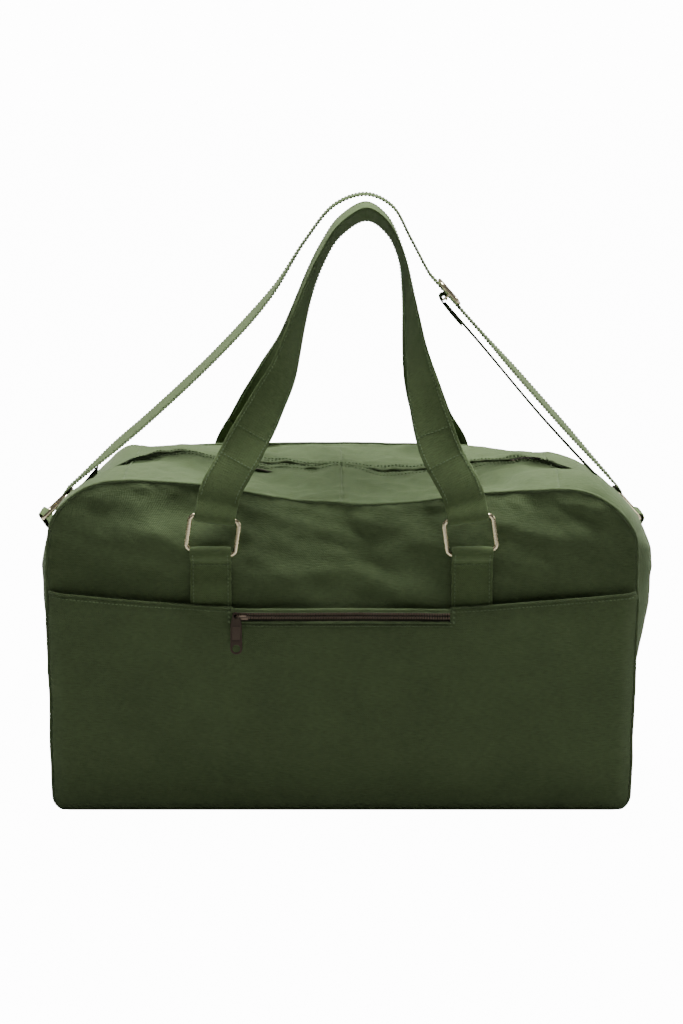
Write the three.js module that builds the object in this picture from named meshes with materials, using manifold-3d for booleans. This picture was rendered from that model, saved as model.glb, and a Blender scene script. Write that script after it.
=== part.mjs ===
// Canvas duffel bag with a zipped front pocket, two carrying handles and an adjustable shoulder strap.
// Millimetres. X runs along the bag, -Y is the front, +Z is up. Origin: middle of the floor under the bag.
import * as THREE from 'three';
import { mergeVertices } from 'three/addons/utils/BufferGeometryUtils.js';
import Module from 'manifold-3d';

const wasm = await Module();
wasm.setup();

// ---- driving dimensions -------------------------------------------------------------------------------------
const gap = 0.3; // clearance kept between pieces that touch
const running = 0.75; // clearance of a bar in a webbing loop

const bagWidth = 530;
const bagHeight = 300;
const bagDepth = 254;
const canvas = 2; // canvas wall
const topCorner = 60; // radius of the panels' top corners
const bottomCorner = 14;
const saddleIn = 10; // how far the gusset's corner is drawn in half way between the panels
const saddleDown = 50;

const boardThickness = 3;
const boardMargin = 16; // base board to the panels and gussets
const bindingWidth = 10;
const bindingThickness = 1.2;

const mouthLength = 310; // the opening that the main zip closes
const fixedChain = 41; // length of zip chain past each end of the mouth
const endTabLength = 18;
const endTabWidth = 24;
const endTabThickness = 1.2;
const zipGap = 14; // distance between the canvas edges beside a zip
const toothRow = 2.2; // width of one row of teeth
const toothHeight = 2.4;
const rowGap = 1.4; // opening between the two rows, where the slider's post runs
const tapeThickness = 0.7;
const tapeWidth = 18;

const pocketInset = 2; // pocket edge to the bag's edge
const pocketHemMiddle = 190;
const pocketHemRise = 15; // the hem is this much higher at its ends
const pocketBottom = 3;
const pocketSpace = 5.4; // room inside the flat pocket
const pocketCanvas = 1.6;
const pocketZipLength = 197;
const pocketZipSlot = 12;

const handleWidth = 37; // webbing of the handles and their tabs
const handleThickness = 2;
const loopWall = 1.6;
const tabSpacing = 234; // between the tabs' centre lines
const tabBarHeight = 242; // height of the ring's lower bar
const tabBottom = 150;
const tabLap = 24; // how far the tab's folded end reaches below its loop
const wire = 4.2; // ring wire diameter
const handleSwing = THREE.MathUtils.degToRad(25); // how far a handle swings out from its rings
const ringInside = 40; // clear width in a ring
const ringRise = 31.2; // between the centres of a ring's upper and lower bars
const ringCorner = 5;
const ringTilt = THREE.MathUtils.degToRad(8); // rings lean towards the middle with the handle's pull
const apexHeight = 536;
const apexOut = 38.5; // handle's centre line to the middle plane at the top
const shoulderHeight = 304; // a handle runs upright to here, just above the bag's edge

const strapWidth = 38;
const strapThickness = 1.6;
const neckHeight = 237; // height of the axis that the shoulder strap swings about
const strapSwing = THREE.MathUtils.degToRad(12); // to the front or to the back
const sideBarOut = 280; // side ring's lower bar
const sideBarHeight = 251;
const patchBottom = 190;
const adjusterLength = 28;
const adjusterBar = 3;
const adjusterAt = 232; // from the side ring's upper bar to the adjuster's nearer end
const sewnEndLength = 24;
const pullerWidth = 11.4;
const pullerThickness = 1.5;
const pocketPullerLength = 36;
const mainPullerLength = 26;
const sliderLength = 12;
const sliderWidth = 9;
const sliderPlate = 1.3;
const bailBar = 2;

// ---- places worked out from them ----------------------------------------------------------------------------
const halfWidth = bagWidth / 2;
const halfDepth = bagDepth / 2;
const panelInner = halfDepth - canvas;
const gussetReach = panelInner - gap; // half the gusset's width
const mouthHalf = mouthLength / 2;
const halfRow = rowGap / 2;
const zipZ = bagHeight - canvas - gap - toothHeight / 2 + 0.6; // middle of the main zip's teeth
const barStraight = (ringInside + wire) / 2 - ringCorner; // half of a ring bar's straight stretch

// How far a bar has bent up at the edge of webbing of this width.
function barRise(width) {
  const reach = Math.max(0, width / 2 - barStraight);
  return ringCorner - Math.sqrt(ringCorner ** 2 - reach ** 2);
}
const loopInner = (handleWidth / 2) * Math.sin(ringTilt) + barRise(handleWidth) + wire / 2 + running;
const loopOuter = loopInner + loopWall;
// A tilted loop's ends turn towards the panel as the handle swings out, so the bars stand off by this much more.
const loopSwing = (handleWidth / 2) * Math.sin(ringTilt) * Math.sin(handleSwing);
const tabAxisOut = loopOuter + loopSwing;
const tabAxisY = halfDepth + gap + tabAxisOut; // ring bars stand this far from the middle plane
const pocketBack = halfDepth + gap + pocketSpace;
const pocketZipZ = pocketHemMiddle - pocketZipSlot / 2;
const tabX = tabSpacing / 2;
const ringTopX = tabX - ringRise * Math.sin(ringTilt);
const ringTopZ = tabBarHeight + ringRise * Math.cos(ringTilt);

// ---- colours ------------------------------------------------------------------------------------------------
const looks = {
  canvas: [0x3f5a2c, 0.95, 0],
  webbing: [0x4a6636, 0.9, 0],
  lining: [0x8b8468, 0.95, 0],
  board: [0x2b2d28, 0.7, 0],
  gold: [0xcfc08c, 0.3, 0.9],
  bronze: [0x4a3f34, 0.4, 0.9],
  tape: [0x2e2a22, 0.9, 0],
};
const bag = new THREE.Group();

function addPiece(name, geometry, look) {
  const [color, roughness, metalness] = looks[look];
  const material = new THREE.MeshStandardMaterial({ color, roughness, metalness });
  const piece = new THREE.Mesh(geometry, material);
  piece.name = name;
  bag.add(piece);
}

// ---- geometry helpers ---------------------------------------------------------------------------------------
function signedVolume(positions, index) {
  const corner = [new THREE.Vector3(), new THREE.Vector3(), new THREE.Vector3()];
  let volume = 0;
  for (let i = 0; i < index.length; i += 3) {
    corner.forEach((point, k) => point.fromArray(positions, index[i + k] * 3));
    volume += corner[0].dot(corner[1].clone().cross(corner[2])) / 6;
  }
  return volume;
}

function fromTriangles(positions, index) {
  if (signedVolume(positions, index) < 0) {
    for (let i = 0; i < index.length; i += 3) [index[i], index[i + 1]] = [index[i + 1], index[i]];
  }
  const geometry = new THREE.BufferGeometry();
  geometry.setAttribute('position', new THREE.Float32BufferAttribute(positions, 3));
  geometry.setIndex(index);
  return geometry;
}

// A closed sheet between two grids of points of the same size.
function slab(outer, inner) {
  const rows = outer.length;
  const columns = outer[0].length;
  const positions = [...outer.flat(), ...inner.flat()].flatMap((point) => [point.x, point.y, point.z]);
  const half = rows * columns;
  const index = [];
  const quad = (a, b, c, d) => index.push(a, b, c, a, c, d);
  for (let i = 0; i < rows - 1; i++) {
    for (let j = 0; j < columns - 1; j++) {
      const at = i * columns + j;
      quad(at, at + 1, at + columns + 1, at + columns);
      quad(half + at, half + at + columns, half + at + columns + 1, half + at + 1);
    }
    const left = i * columns;
    const right = left + columns - 1;
    quad(left, left + columns, half + left + columns, half + left);
    quad(right, half + right, half + right + columns, right + columns);
  }
  const last = half - columns;
  for (let j = 0; j < columns - 1; j++) {
    quad(j, half + j, half + j + 1, j + 1);
    quad(last + j, last + j + 1, half + last + j + 1, half + last + j);
  }
  return fromTriangles(positions, index);
}

// A flat band that follows stations of { at, across, face }.
function ribbon(stations, width, thickness) {
  const side = (station, sign) =>
    [-0.5, 0.5].map((share) =>
      station.at
        .clone()
        .addScaledVector(station.across, share * width)
        .addScaledVector(station.face, (sign * thickness) / 2),
    );
  return slab(
    stations.map((station) => side(station, 1)),
    stations.map((station) => side(station, -1)),
  );
}

// Outline (u, v) pushed through a thickness: u runs along `right`, v along `up`.
function plate(shape, depth, right, up, at) {
  const geometry = new THREE.ExtrudeGeometry(shape, { depth, bevelEnabled: false, curveSegments: 6 });
  geometry.translate(0, 0, -depth / 2);
  const through = right.clone().cross(up);
  geometry.applyMatrix4(new THREE.Matrix4().makeBasis(right, up, through).setPosition(at));
  return geometry;
}

function box(low, high) {
  const size = high.map((value, k) => value - low[k]);
  const geometry = new THREE.BoxGeometry(...size);
  geometry.translate(...high.map((value, k) => (value + low[k]) / 2));
  return geometry;
}

function toSolid(geometry) {
  const bare = geometry.clone();
  bare.deleteAttribute('normal');
  bare.deleteAttribute('uv');
  const merged = mergeVertices(bare, 1e-4);
  const mesh = new wasm.Mesh({
    numProp: 3,
    vertProperties: new Float32Array(merged.attributes.position.array),
    triVerts: new Uint32Array(merged.index.array),
  });
  return new wasm.Manifold(mesh);
}

function toGeometry(solid) {
  const mesh = solid.getMesh();
  return fromTriangles(Array.from(mesh.vertProperties), Array.from(mesh.triVerts));
}

function join(...geometries) {
  return toGeometry(geometries.map(toSolid).reduce((sum, next) => sum.add(next)));
}

function cut(geometry, ...tools) {
  return toGeometry(tools.map(toSolid).reduce((rest, tool) => rest.subtract(tool), toSolid(geometry)));
}

const ordered = (a, b) => (a < b ? [a, b] : [b, a]);
const X = new THREE.Vector3(1, 0, 0);
const Y = new THREE.Vector3(0, 1, 0);
const Z = new THREE.Vector3(0, 0, 1);
const point = (x, y, z) => new THREE.Vector3(x, y, z);

function annulus(outer, inner) {
  const shape = new THREE.Shape();
  shape.absarc(0, 0, outer, 0, 2 * Math.PI, false);
  const hole = new THREE.Path();
  hole.absarc(0, 0, inner, 0, 2 * Math.PI, true);
  shape.holes.push(hole);
  return shape;
}

// A round wire bent into a rectangle with rounded corners; `up` and `along` span its plane.
function wireRing(width, height, at, along, up) {
  const corners = [[1, 1], [-1, 1], [-1, -1], [1, -1]];
  const path = [];
  corners.forEach(([sx, sy], turn) => {
    for (let step = 0; step <= 4; step++) {
      const angle = ((turn + step / 4) * Math.PI) / 2;
      const centre = [sx * (width / 2 - ringCorner), sy * (height / 2 - ringCorner)];
      const outward = [Math.cos(angle), Math.sin(angle)];
      path.push({ spot: centre.map((value, k) => value + ringCorner * outward[k]), outward });
    }
  });
  const sides = 8;
  const normal = along.clone().cross(up);
  const positions = [];
  path.forEach(({ spot, outward }) => {
    const out = along.clone().multiplyScalar(outward[0]).addScaledVector(up, outward[1]);
    const centre = at.clone().addScaledVector(along, spot[0]).addScaledVector(up, spot[1]);
    for (let k = 0; k < sides; k++) {
      const turn = (2 * Math.PI * k) / sides;
      const vertex = centre.clone();
      vertex.addScaledVector(out, (Math.cos(turn) * wire) / 2);
      vertex.addScaledVector(normal, (Math.sin(turn) * wire) / 2);
      positions.push(vertex.x, vertex.y, vertex.z);
    }
  });
  const index = [];
  for (let i = 0; i < path.length; i++) {
    for (let k = 0; k < sides; k++) {
      const a = i * sides + k;
      const b = i * sides + ((k + 1) % sides);
      const c = ((i + 1) % path.length) * sides + ((k + 1) % sides);
      const d = ((i + 1) % path.length) * sides + k;
      index.push(a, b, c, a, c, d);
    }
  }
  return fromTriangles(positions, index);
}

// ---- shell --------------------------------------------------------------------------------------------------
function panelOutline() {
  const shape = new THREE.Shape();
  const w = halfWidth;
  shape.moveTo(-w + bottomCorner, 0);
  shape.lineTo(w - bottomCorner, 0);
  shape.absarc(w - bottomCorner, bottomCorner, bottomCorner, -Math.PI / 2, 0, false);
  shape.lineTo(w, bagHeight - topCorner);
  shape.absarc(w - topCorner, bagHeight - topCorner, topCorner, 0, Math.PI / 2, false);
  shape.lineTo(-w + topCorner, bagHeight);
  shape.absarc(-w + topCorner, bagHeight - topCorner, topCorner, Math.PI / 2, Math.PI, false);
  shape.lineTo(-w, bottomCorner);
  shape.absarc(-w + bottomCorner, bottomCorner, bottomCorner, Math.PI, 1.5 * Math.PI, false);
  return shape;
}
addPiece('front_panel', plate(panelOutline(), canvas, X, Z, point(0, -halfDepth + canvas / 2, 0)), 'canvas');
addPiece('back_panel', plate(panelOutline(), canvas, X, Z, point(0, halfDepth - canvas / 2, 0)), 'canvas');

// Top corner of the gusset at distance y from the middle: an ellipse, deepest half way between the panels.
function cornerAxes(y) {
  const share = Math.cos((Math.PI * y) / bagDepth);
  return { wide: topCorner + saddleIn * share, tall: topCorner + saddleDown * share };
}

// One row of the gusset's profile, `inset` inside its outer face, from the base up and over to the mouth.
function gussetProfile(side, y, inset) {
  const { wide, tall } = cornerAxes(y);
  const row = [];
  const steps = 8;
  for (let i = 0; i <= 4; i++) {
    const angle = ((i / 4) * Math.PI) / 2;
    const reach = bottomCorner - inset;
    const x = halfWidth - bottomCorner + reach * Math.sin(angle);
    row.push(point(side * x, y, bottomCorner - reach * Math.cos(angle)));
  }
  for (let i = 0; i <= steps; i++) {
    const angle = ((i / steps) * Math.PI) / 2;
    const x = halfWidth - wide + (wide - inset) * Math.cos(angle);
    row.push(point(side * x, y, bagHeight - tall + (tall - inset) * Math.sin(angle)));
  }
  row.push(point(side * (mouthHalf + gap), y, bagHeight - inset));
  return row;
}

function gussetGrid(side, inset, reach) {
  const columns = 8;
  const rows = [];
  for (let j = 0; j <= columns; j++) {
    rows.push(gussetProfile(side, reach * ((2 * j) / columns - 1), inset));
  }
  return rows;
}

for (const [side, word] of [[-1, 'left'], [1, 'right']]) {
  const sheet = slab(gussetGrid(side, 0, gussetReach), gussetGrid(side, canvas, gussetReach));
  const [slotLow, slotHigh] = ordered(side * mouthHalf, side * (mouthHalf + fixedChain + 1));
  const zipSlot = box([slotLow, -zipGap / 2, bagHeight - 12], [slotHigh, zipGap / 2, bagHeight + 5]);
  addPiece(`side_gusset_${word}`, cut(sheet, zipSlot), 'canvas');
}
const baseHalf = halfWidth - bottomCorner - gap;
addPiece('base_panel', box([-baseHalf, -gussetReach, 0], [baseHalf, gussetReach, canvas]), 'canvas');
const boardHalf = [halfWidth - boardMargin, panelInner - boardMargin];
const boardLow = canvas + gap;
const boardHigh = boardLow + boardThickness;
addPiece('base_board', box([-boardHalf[0], -boardHalf[1], boardLow], [...boardHalf, boardHigh]), 'board');

// Tape that covers the raw edges inside a seam: down one side, along the base and up the other side.
function bindingPath(inset) {
  const end = mouthHalf + 4;
  const y = panelInner;
  const half = (side) => {
    const profile = gussetProfile(side, y, inset);
    profile[profile.length - 1].x = side * end;
    return profile;
  };
  return [...half(-1).reverse(), ...half(1)];
}
for (const [side, word] of [[-1, 'front'], [1, 'back']]) {
  const offsets = [panelInner - gap, panelInner - gap - bindingWidth];
  const grid = (inset) =>
    offsets.map((y) => bindingPath(inset).map((spot) => point(spot.x, side * y, spot.z)));
  const under = canvas + 4.5; // clear of the drawn-in gusset
  addPiece(`seam_binding_${word}`, slab(grid(under), grid(under + bindingThickness)), 'lining');
}

// ---- top flaps and main zip ---------------------------------------------------------------------------------
const teethOut = halfRow + toothRow;
const teethLow = zipZ - toothHeight / 2;
const teethHigh = zipZ + toothHeight / 2;
const tapeHigh = bagHeight - canvas - gap;
for (const [side, word] of [[-1, 'front'], [1, 'back']]) {
  const span = (a, b) => ordered(side * a, side * b);
  const end = mouthHalf - gap;
  const [flapA, flapB] = span(zipGap / 2, gussetReach);
  addPiece(`top_flap_${word}`, box([-end, flapA, bagHeight - canvas], [end, flapB, bagHeight]), 'canvas');
  const [tapeA, tapeB] = span(teethOut + gap, teethOut + gap + tapeWidth);
  const tapeLow = tapeHigh - tapeThickness;
  addPiece(`main_zip_tape_${word}`, box([-end, tapeA, tapeLow], [end, tapeB, tapeHigh]), 'tape');
  const [rowA, rowB] = span(halfRow, teethOut);
  addPiece(`main_zip_teeth_${word}`, box([-end, rowA, teethLow], [end, rowB, teethHigh]), 'bronze');
}
const chainEnd = mouthHalf + fixedChain;
for (const [side, word] of [[-1, 'left'], [1, 'right']]) {
  const span = (a, b) => ordered(side * a, side * b);
  const [x0, x1] = span(mouthHalf + gap, chainEnd);
  const [s0, s1] = span(chainEnd - 2, chainEnd);
  const rows = [-1, 1].map((row) => {
    const edges = ordered(row * halfRow, row * teethOut);
    return box([x0, edges[0], teethLow], [x1, edges[1], teethHigh]);
  });
  const stop = box([s0, -zipGap / 2 + gap, teethLow], [s1, zipGap / 2 - gap, teethHigh]);
  addPiece(`main_zip_end_${word}`, join(...rows, stop), 'bronze');
  const [t0, t1] = span(chainEnd + gap, chainEnd + endTabLength);
  const tabLow = bagHeight + gap;
  const tab = box([t0, -endTabWidth / 2, tabLow], [t1, endTabWidth / 2, tabLow + endTabThickness]);
  addPiece(`main_zip_end_tab_${word}`, tab, 'canvas');
}

// A zip slider with its running direction along X, its post between the rows, and a bail on its face.
function zipSlider(bail) {
  const half = sliderLength / 2;
  const face = toothHeight / 2 + gap;
  const top = box([-half, -sliderWidth / 2, face], [half, sliderWidth / 2, face + sliderPlate]);
  const bottom = box([-half, -sliderWidth / 2, -face - sliderPlate], [half, sliderWidth / 2, -face]);
  const postHalf = halfRow - gap;
  const post = box([-2, -postHalf, -face - 0.5], [2, postHalf, face + 0.5]);
  return join(top, bottom, post, ...bail(face + sliderPlate));
}
const mainSliderX = mouthHalf + gap + 0.5 + sliderLength / 2;
const mainBailLift = 3.3; // bail bar above the slider's face
function uprightBail(face) {
  const cheeks = [-1, 1].map((side) => {
    const edges = [side * 3.4, side * 4.4].sort((a, b) => a - b);
    return box([-1.2, edges[0], face - 0.5], [1.2, edges[1], face + mainBailLift + 1]);
  });
  const bar = box([-bailBar / 2, -4, face + mainBailLift - 1], [bailBar / 2, 4, face + mainBailLift + 1]);
  return [...cheeks, bar];
}
const mainSlider = zipSlider(uprightBail);
mainSlider.translate(mainSliderX, 0, zipZ);
addPiece('main_zip_slider', mainSlider, 'bronze');
const mainBailZ = zipZ + toothHeight / 2 + gap + sliderPlate + mainBailLift;
const mainEye = annulus(2.9, 1.8);
const mainPuller = join(
  plate(mainEye, 5.6, X, Z, point(mainSliderX, 0, mainBailZ)),
  box(
    [mainSliderX + sliderLength / 2, -pullerWidth / 2, mainBailZ + 1.4],
    [mainSliderX + mainPullerLength, pullerWidth / 2, mainBailZ + 1.4 + pullerThickness],
  ),
  box(
    [mainSliderX + 1.2, -2.8, mainBailZ + 1.4],
    [mainSliderX + sliderLength / 2 + 1, 2.8, mainBailZ + 1.4 + pullerThickness],
  ),
);
addPiece('main_zip_puller', mainPuller, 'bronze');

// ---- front pocket -------------------------------------------------------------------------------------------
const pocketHalf = halfWidth - pocketInset;
const hemAt = (x) => pocketHemMiddle + pocketHemRise * (x / halfWidth) ** 2;
const pocketShape = new THREE.Shape();
pocketShape.moveTo(-pocketHalf + bottomCorner, pocketBottom);
pocketShape.lineTo(pocketHalf - bottomCorner, pocketBottom);
const pocketCornerZ = pocketBottom + bottomCorner;
pocketShape.absarc(pocketHalf - bottomCorner, pocketCornerZ, bottomCorner, -Math.PI / 2, 0, false);
const hemSteps = 6;
const slotEnd = pocketZipLength / 2;
for (let i = 0; i <= hemSteps; i++) {
  const x = pocketHalf + ((slotEnd - pocketHalf) * i) / hemSteps;
  pocketShape.lineTo(x, hemAt(x));
}
pocketShape.lineTo(slotEnd, pocketHemMiddle - pocketZipSlot);
pocketShape.lineTo(-slotEnd, pocketHemMiddle - pocketZipSlot);
for (let i = 0; i <= hemSteps; i++) {
  const x = -slotEnd - ((pocketHalf - slotEnd) * i) / hemSteps;
  pocketShape.lineTo(x, hemAt(x));
}
pocketShape.absarc(-pocketHalf + bottomCorner, pocketCornerZ, bottomCorner, Math.PI, 1.5 * Math.PI, false);
const pocketY = -(pocketBack + pocketCanvas / 2);
addPiece('pocket_panel', plate(pocketShape, pocketCanvas, X, Z, point(0, pocketY, 0)), 'canvas');

const stripLow = -(pocketBack - gap);
const stripHigh = -(halfDepth + gap);
const sideStripLow = pocketCornerZ + gap;
for (const [side, word] of [[-1, 'left'], [1, 'right']]) {
  const [x0, x1] = [side * pocketHalf, side * (pocketHalf - 2)].sort((a, b) => a - b);
  const strip = box([x0, stripLow, sideStripLow], [x1, stripHigh, hemAt(pocketHalf) - 3]);
  addPiece(`pocket_side_seam_${word}`, strip, 'canvas');
}
const bottomHalf = pocketHalf - bottomCorner;
addPiece(
  'pocket_bottom_seam',
  box([-bottomHalf, stripLow, pocketBottom], [bottomHalf, stripHigh, pocketBottom + 2]),
  'canvas',
);

const pocketZipY = -(pocketBack + 0.2);
const pocketTapeY = [-(pocketBack - gap), -(pocketBack - gap - tapeThickness)];
for (const [side, word] of [[-1, 'lower'], [1, 'upper']]) {
  const span = (a, b) => [pocketZipZ + side * a, pocketZipZ + side * b].sort((p, q) => p - q);
  const [tape0, tape1] = span(teethOut + gap, teethOut + gap + 12);
  const tape = box([-slotEnd, pocketTapeY[0], tape0], [slotEnd, pocketTapeY[1], tape1]);
  addPiece(`pocket_zip_tape_${word}`, tape, 'tape');
  const [row0, row1] = span(halfRow, teethOut);
  const reach = slotEnd - 2;
  const row = box(
    [-reach, pocketZipY - toothHeight / 2, row0],
    [reach, pocketZipY + toothHeight / 2, row1],
  );
  addPiece(`pocket_zip_teeth_${word}`, row, 'bronze');
}
const facingZ = pocketZipZ + teethOut + gap + 12 - 2;
addPiece(
  'pocket_zip_facing',
  box([-slotEnd, pocketTapeY[1] + gap, facingZ], [slotEnd, stripHigh, facingZ + 2]),
  'canvas',
);
for (const [side, word] of [[-1, 'left'], [1, 'right']]) {
  const [x0, x1] = [side * (slotEnd - 1.7), side * (slotEnd - gap)].sort((a, b) => a - b);
  const reach = teethOut - 0.2;
  const stop = box([x0, pocketZipY - 1.2, pocketZipZ - reach], [x1, pocketZipY + 0.9, pocketZipZ + reach]);
  addPiece(`pocket_zip_stop_${word}`, stop, 'bronze');
}

const pocketSliderX = -slotEnd + 2 + 1 + sliderLength / 2;
const legRise = 3.4; // clear height under the bail's bar
function archBail(face) {
  const legs = [-1, 1].map((side) => {
    const x = side * (sliderLength / 2 - bailBar / 2);
    const low = [x - bailBar / 2, -bailBar / 2, face - 0.5];
    return box(low, [x + bailBar / 2, bailBar / 2, face + legRise + 0.5]);
  });
  const bar = box(
    [-sliderLength / 2, -bailBar / 2, face + legRise],
    [sliderLength / 2, bailBar / 2, face + legRise + 1.2],
  );
  return [...legs, bar];
}
const pocketSlider = zipSlider(archBail);
pocketSlider.applyMatrix4(
  new THREE.Matrix4().makeBasis(X, Z, Y.clone().negate()).setPosition(pocketSliderX, pocketZipY, pocketZipZ),
);
addPiece('pocket_zip_slider', pocketSlider, 'bronze');

const pocketPivotX = pocketSliderX - sliderLength / 2 + bailBar / 2;
const pocketFace = -pocketZipY + toothHeight / 2 + gap + sliderPlate;
function pullerShape(length) {
  const shape = new THREE.Shape();
  const w = pullerWidth / 2;
  const eye = 3.2;
  shape.moveTo(-eye, 0);
  shape.lineTo(-w, -7);
  shape.lineTo(-w, -length + 4);
  shape.lineTo(-w + 3, -length);
  shape.lineTo(w - 3, -length);
  shape.lineTo(w, -length + 4);
  shape.lineTo(w, -7);
  shape.lineTo(eye, 0);
  shape.absarc(0, 0, eye, 0, Math.PI, false);
  const hole = new THREE.Path();
  hole.absarc(0, 0, bailBar * 0.71 + 0.5, 0, 2 * Math.PI, true);
  shape.holes.push(hole);
  const thumbHole = new THREE.Path();
  thumbHole.absarc(0, -length + 7, 2.2, 0, 2 * Math.PI, true);
  shape.holes.push(thumbHole);
  return shape;
}
const pocketPullerY = -(pocketFace + legRise / 2);
const pocketPullerAt = point(pocketPivotX, pocketPullerY, pocketZipZ);
const pocketPuller = plate(pullerShape(pocketPullerLength), pullerThickness, X, Z, pocketPullerAt);
addPiece('pocket_zip_puller', pocketPuller, 'bronze');

// ---- handles ------------------------------------------------------------------------------------------------
// Tab profile: u away from the panel, v up. Two layers below the loop that holds the ring's lower bar.
function tabShape() {
  const shape = new THREE.Shape();
  const layer = loopWall;
  const laps = 2 * layer + 0.2;
  const lapEnd = tabBarHeight - loopOuter - tabLap;
  shape.moveTo(0, tabBottom);
  shape.lineTo(layer, tabBottom);
  shape.lineTo(layer, lapEnd);
  shape.lineTo(laps, lapEnd);
  shape.lineTo(laps, tabBarHeight - loopOuter - 1);
  shape.absarc(tabAxisOut, tabBarHeight, loopOuter, 1.25 * Math.PI, 3 * Math.PI, false);
  const hole = new THREE.Path();
  hole.absarc(tabAxisOut, tabBarHeight, loopInner, 0, 2 * Math.PI, true);
  shape.holes.push(hole);
  return shape;
}

const shoulderY = tabAxisY - 1.5;
function handleOut(z) {
  if (z <= shoulderHeight) return THREE.MathUtils.mapLinear(z, ringTopZ, shoulderHeight, tabAxisY, shoulderY);
  return THREE.MathUtils.mapLinear(z, shoulderHeight, apexHeight, shoulderY, apexOut);
}

// The handle's centre line between its two end loops, (x, z).
const handleRoute = [
  [-107.5, 297], [-88, 332], [-66.5, 371], [-51.5, 401], [-38.5, 443], [-29, 472], [-17.5, 498], [-2, 521.5],
  [23.2, apexHeight], [42, 524], [55, 497], [62, 458], [67.5, 415], [76, 371], [89.5, 329], [107, 297],
];
function handleStations(side) {
  const startUp = loopInner + loopWall / 2;
  const endX = ringTopX - startUp * Math.sin(ringTilt);
  const endZ = ringTopZ + startUp * Math.cos(ringTilt);
  const ends = [-1, 1].map((end) => [end * endX, endZ]);
  const spots = [ends[0], ...handleRoute, ends[1]].map(([x, z]) => point(x, side * handleOut(z), z));
  const curve = new THREE.CatmullRomCurve3(spots, false, 'centripetal');
  const lean = Math.atan2(shoulderY - apexOut, apexHeight - shoulderHeight);
  const steps = 44;
  const stations = [];
  for (let i = 0; i <= steps; i++) {
    const at = curve.getPointAt(i / steps);
    const along = curve.getTangentAt(i / steps);
    const upright = THREE.MathUtils.smoothstep(at.z, ringTopZ, shoulderHeight + 20) * lean;
    const out = point(0, side * Math.cos(upright), Math.sin(upright));
    out.addScaledVector(along, -out.dot(along)).normalize();
    const inside = along.clone().cross(out).multiplyScalar(side).normalize();
    const share = THREE.MathUtils.clamp((at.z - 325) / (apexHeight - 325), 0, 1);
    const twist = (1 - (1 - share) ** 2) * (Math.PI / 2);
    const across = inside.clone().multiplyScalar(Math.cos(twist)).addScaledVector(out, Math.sin(twist));
    const face = out.clone().multiplyScalar(Math.cos(twist)).addScaledVector(inside, -Math.sin(twist));
    stations.push({ at, across, face });
  }
  return stations;
}

for (const [side, depthWord] of [[-1, 'front'], [1, 'back']]) {
  const outward = point(0, side, 0);
  const endLoops = [];
  for (const [end, word] of [[-1, 'left'], [1, 'right']]) {
    const tabAt = point(end * tabX, side * (halfDepth + gap), 0);
    const tab = plate(tabShape(), handleWidth, outward, Z, tabAt);
    addPiece(`handle_tab_${depthWord}_${word}`, tab, 'webbing');
    const up = point(-end * Math.sin(ringTilt), 0, Math.cos(ringTilt));
    const along = point(Math.cos(ringTilt), 0, end * Math.sin(ringTilt));
    const middle = point(end * tabX, side * tabAxisY, tabBarHeight).addScaledVector(up, ringRise / 2);
    const ring = wireRing(ringInside + wire, ringRise, middle, along, up);
    addPiece(`handle_ring_${depthWord}_${word}`, ring, 'gold');
    const topBar = middle.clone().addScaledVector(up, ringRise / 2);
    endLoops.push(plate(annulus(loopOuter, loopInner), handleWidth, outward, up, topBar));
  }
  const band = ribbon(handleStations(side), handleWidth, handleThickness);
  addPiece(`handle_${depthWord}`, join(band, ...endLoops), 'webbing');
}

// ---- shoulder strap -----------------------------------------------------------------------------------------
// The strap's own route between the side rings, (x, z); both legs are straight near the rings.
const adjusterTop = [84, 471.1];
const strapApex = [23.2, 552.5];
const strapLeft = [[-176, 348.4], [-112, 409], [-64, 463], [-33, 511], [-6, 543]];
const strapRight = [[47, 541.5], [64, 512]];

function unitBetween(from, to) {
  return point(to[0] - from[0], 0, to[1] - from[1]).normalize();
}
const legUp = {
  left: unitBetween([-sideBarOut, sideBarHeight], strapLeft[0]),
  right: unitBetween([sideBarOut, sideBarHeight], adjusterTop),
};
const barOf = (side) => point(side * sideBarOut, 0, sideBarHeight);
const upperBar = {
  left: barOf(-1).addScaledVector(legUp.left, ringRise),
  right: barOf(1).addScaledVector(legUp.right, ringRise),
};
const turnRadius = wire / 2 + gap + barRise(strapWidth) + strapThickness / 2; // strap's middle line round a bar

// Half turn of the strap under a ring bar, from its inner to its outer strand.
function turnStations(word, side) {
  const up = legUp[word];
  const out = Y.clone().cross(up).multiplyScalar(-side).normalize();
  if (out.z < 0) out.negate();
  const stations = [];
  for (let i = 0; i <= 8; i++) {
    const angle = (i / 8) * Math.PI;
    const face = out.clone().multiplyScalar(-Math.cos(angle)).addScaledVector(up, -Math.sin(angle));
    stations.push({ at: upperBar[word].clone().addScaledVector(face, turnRadius), across: Y.clone(), face });
  }
  return { stations, out };
}
const leftTurn = turnStations('left', -1);
const rightTurn = turnStations('right', 1);
const onStrap = (word, turn, distance, lift) =>
  upperBar[word].clone().addScaledVector(legUp[word], distance).addScaledVector(turn.out, lift);

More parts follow.
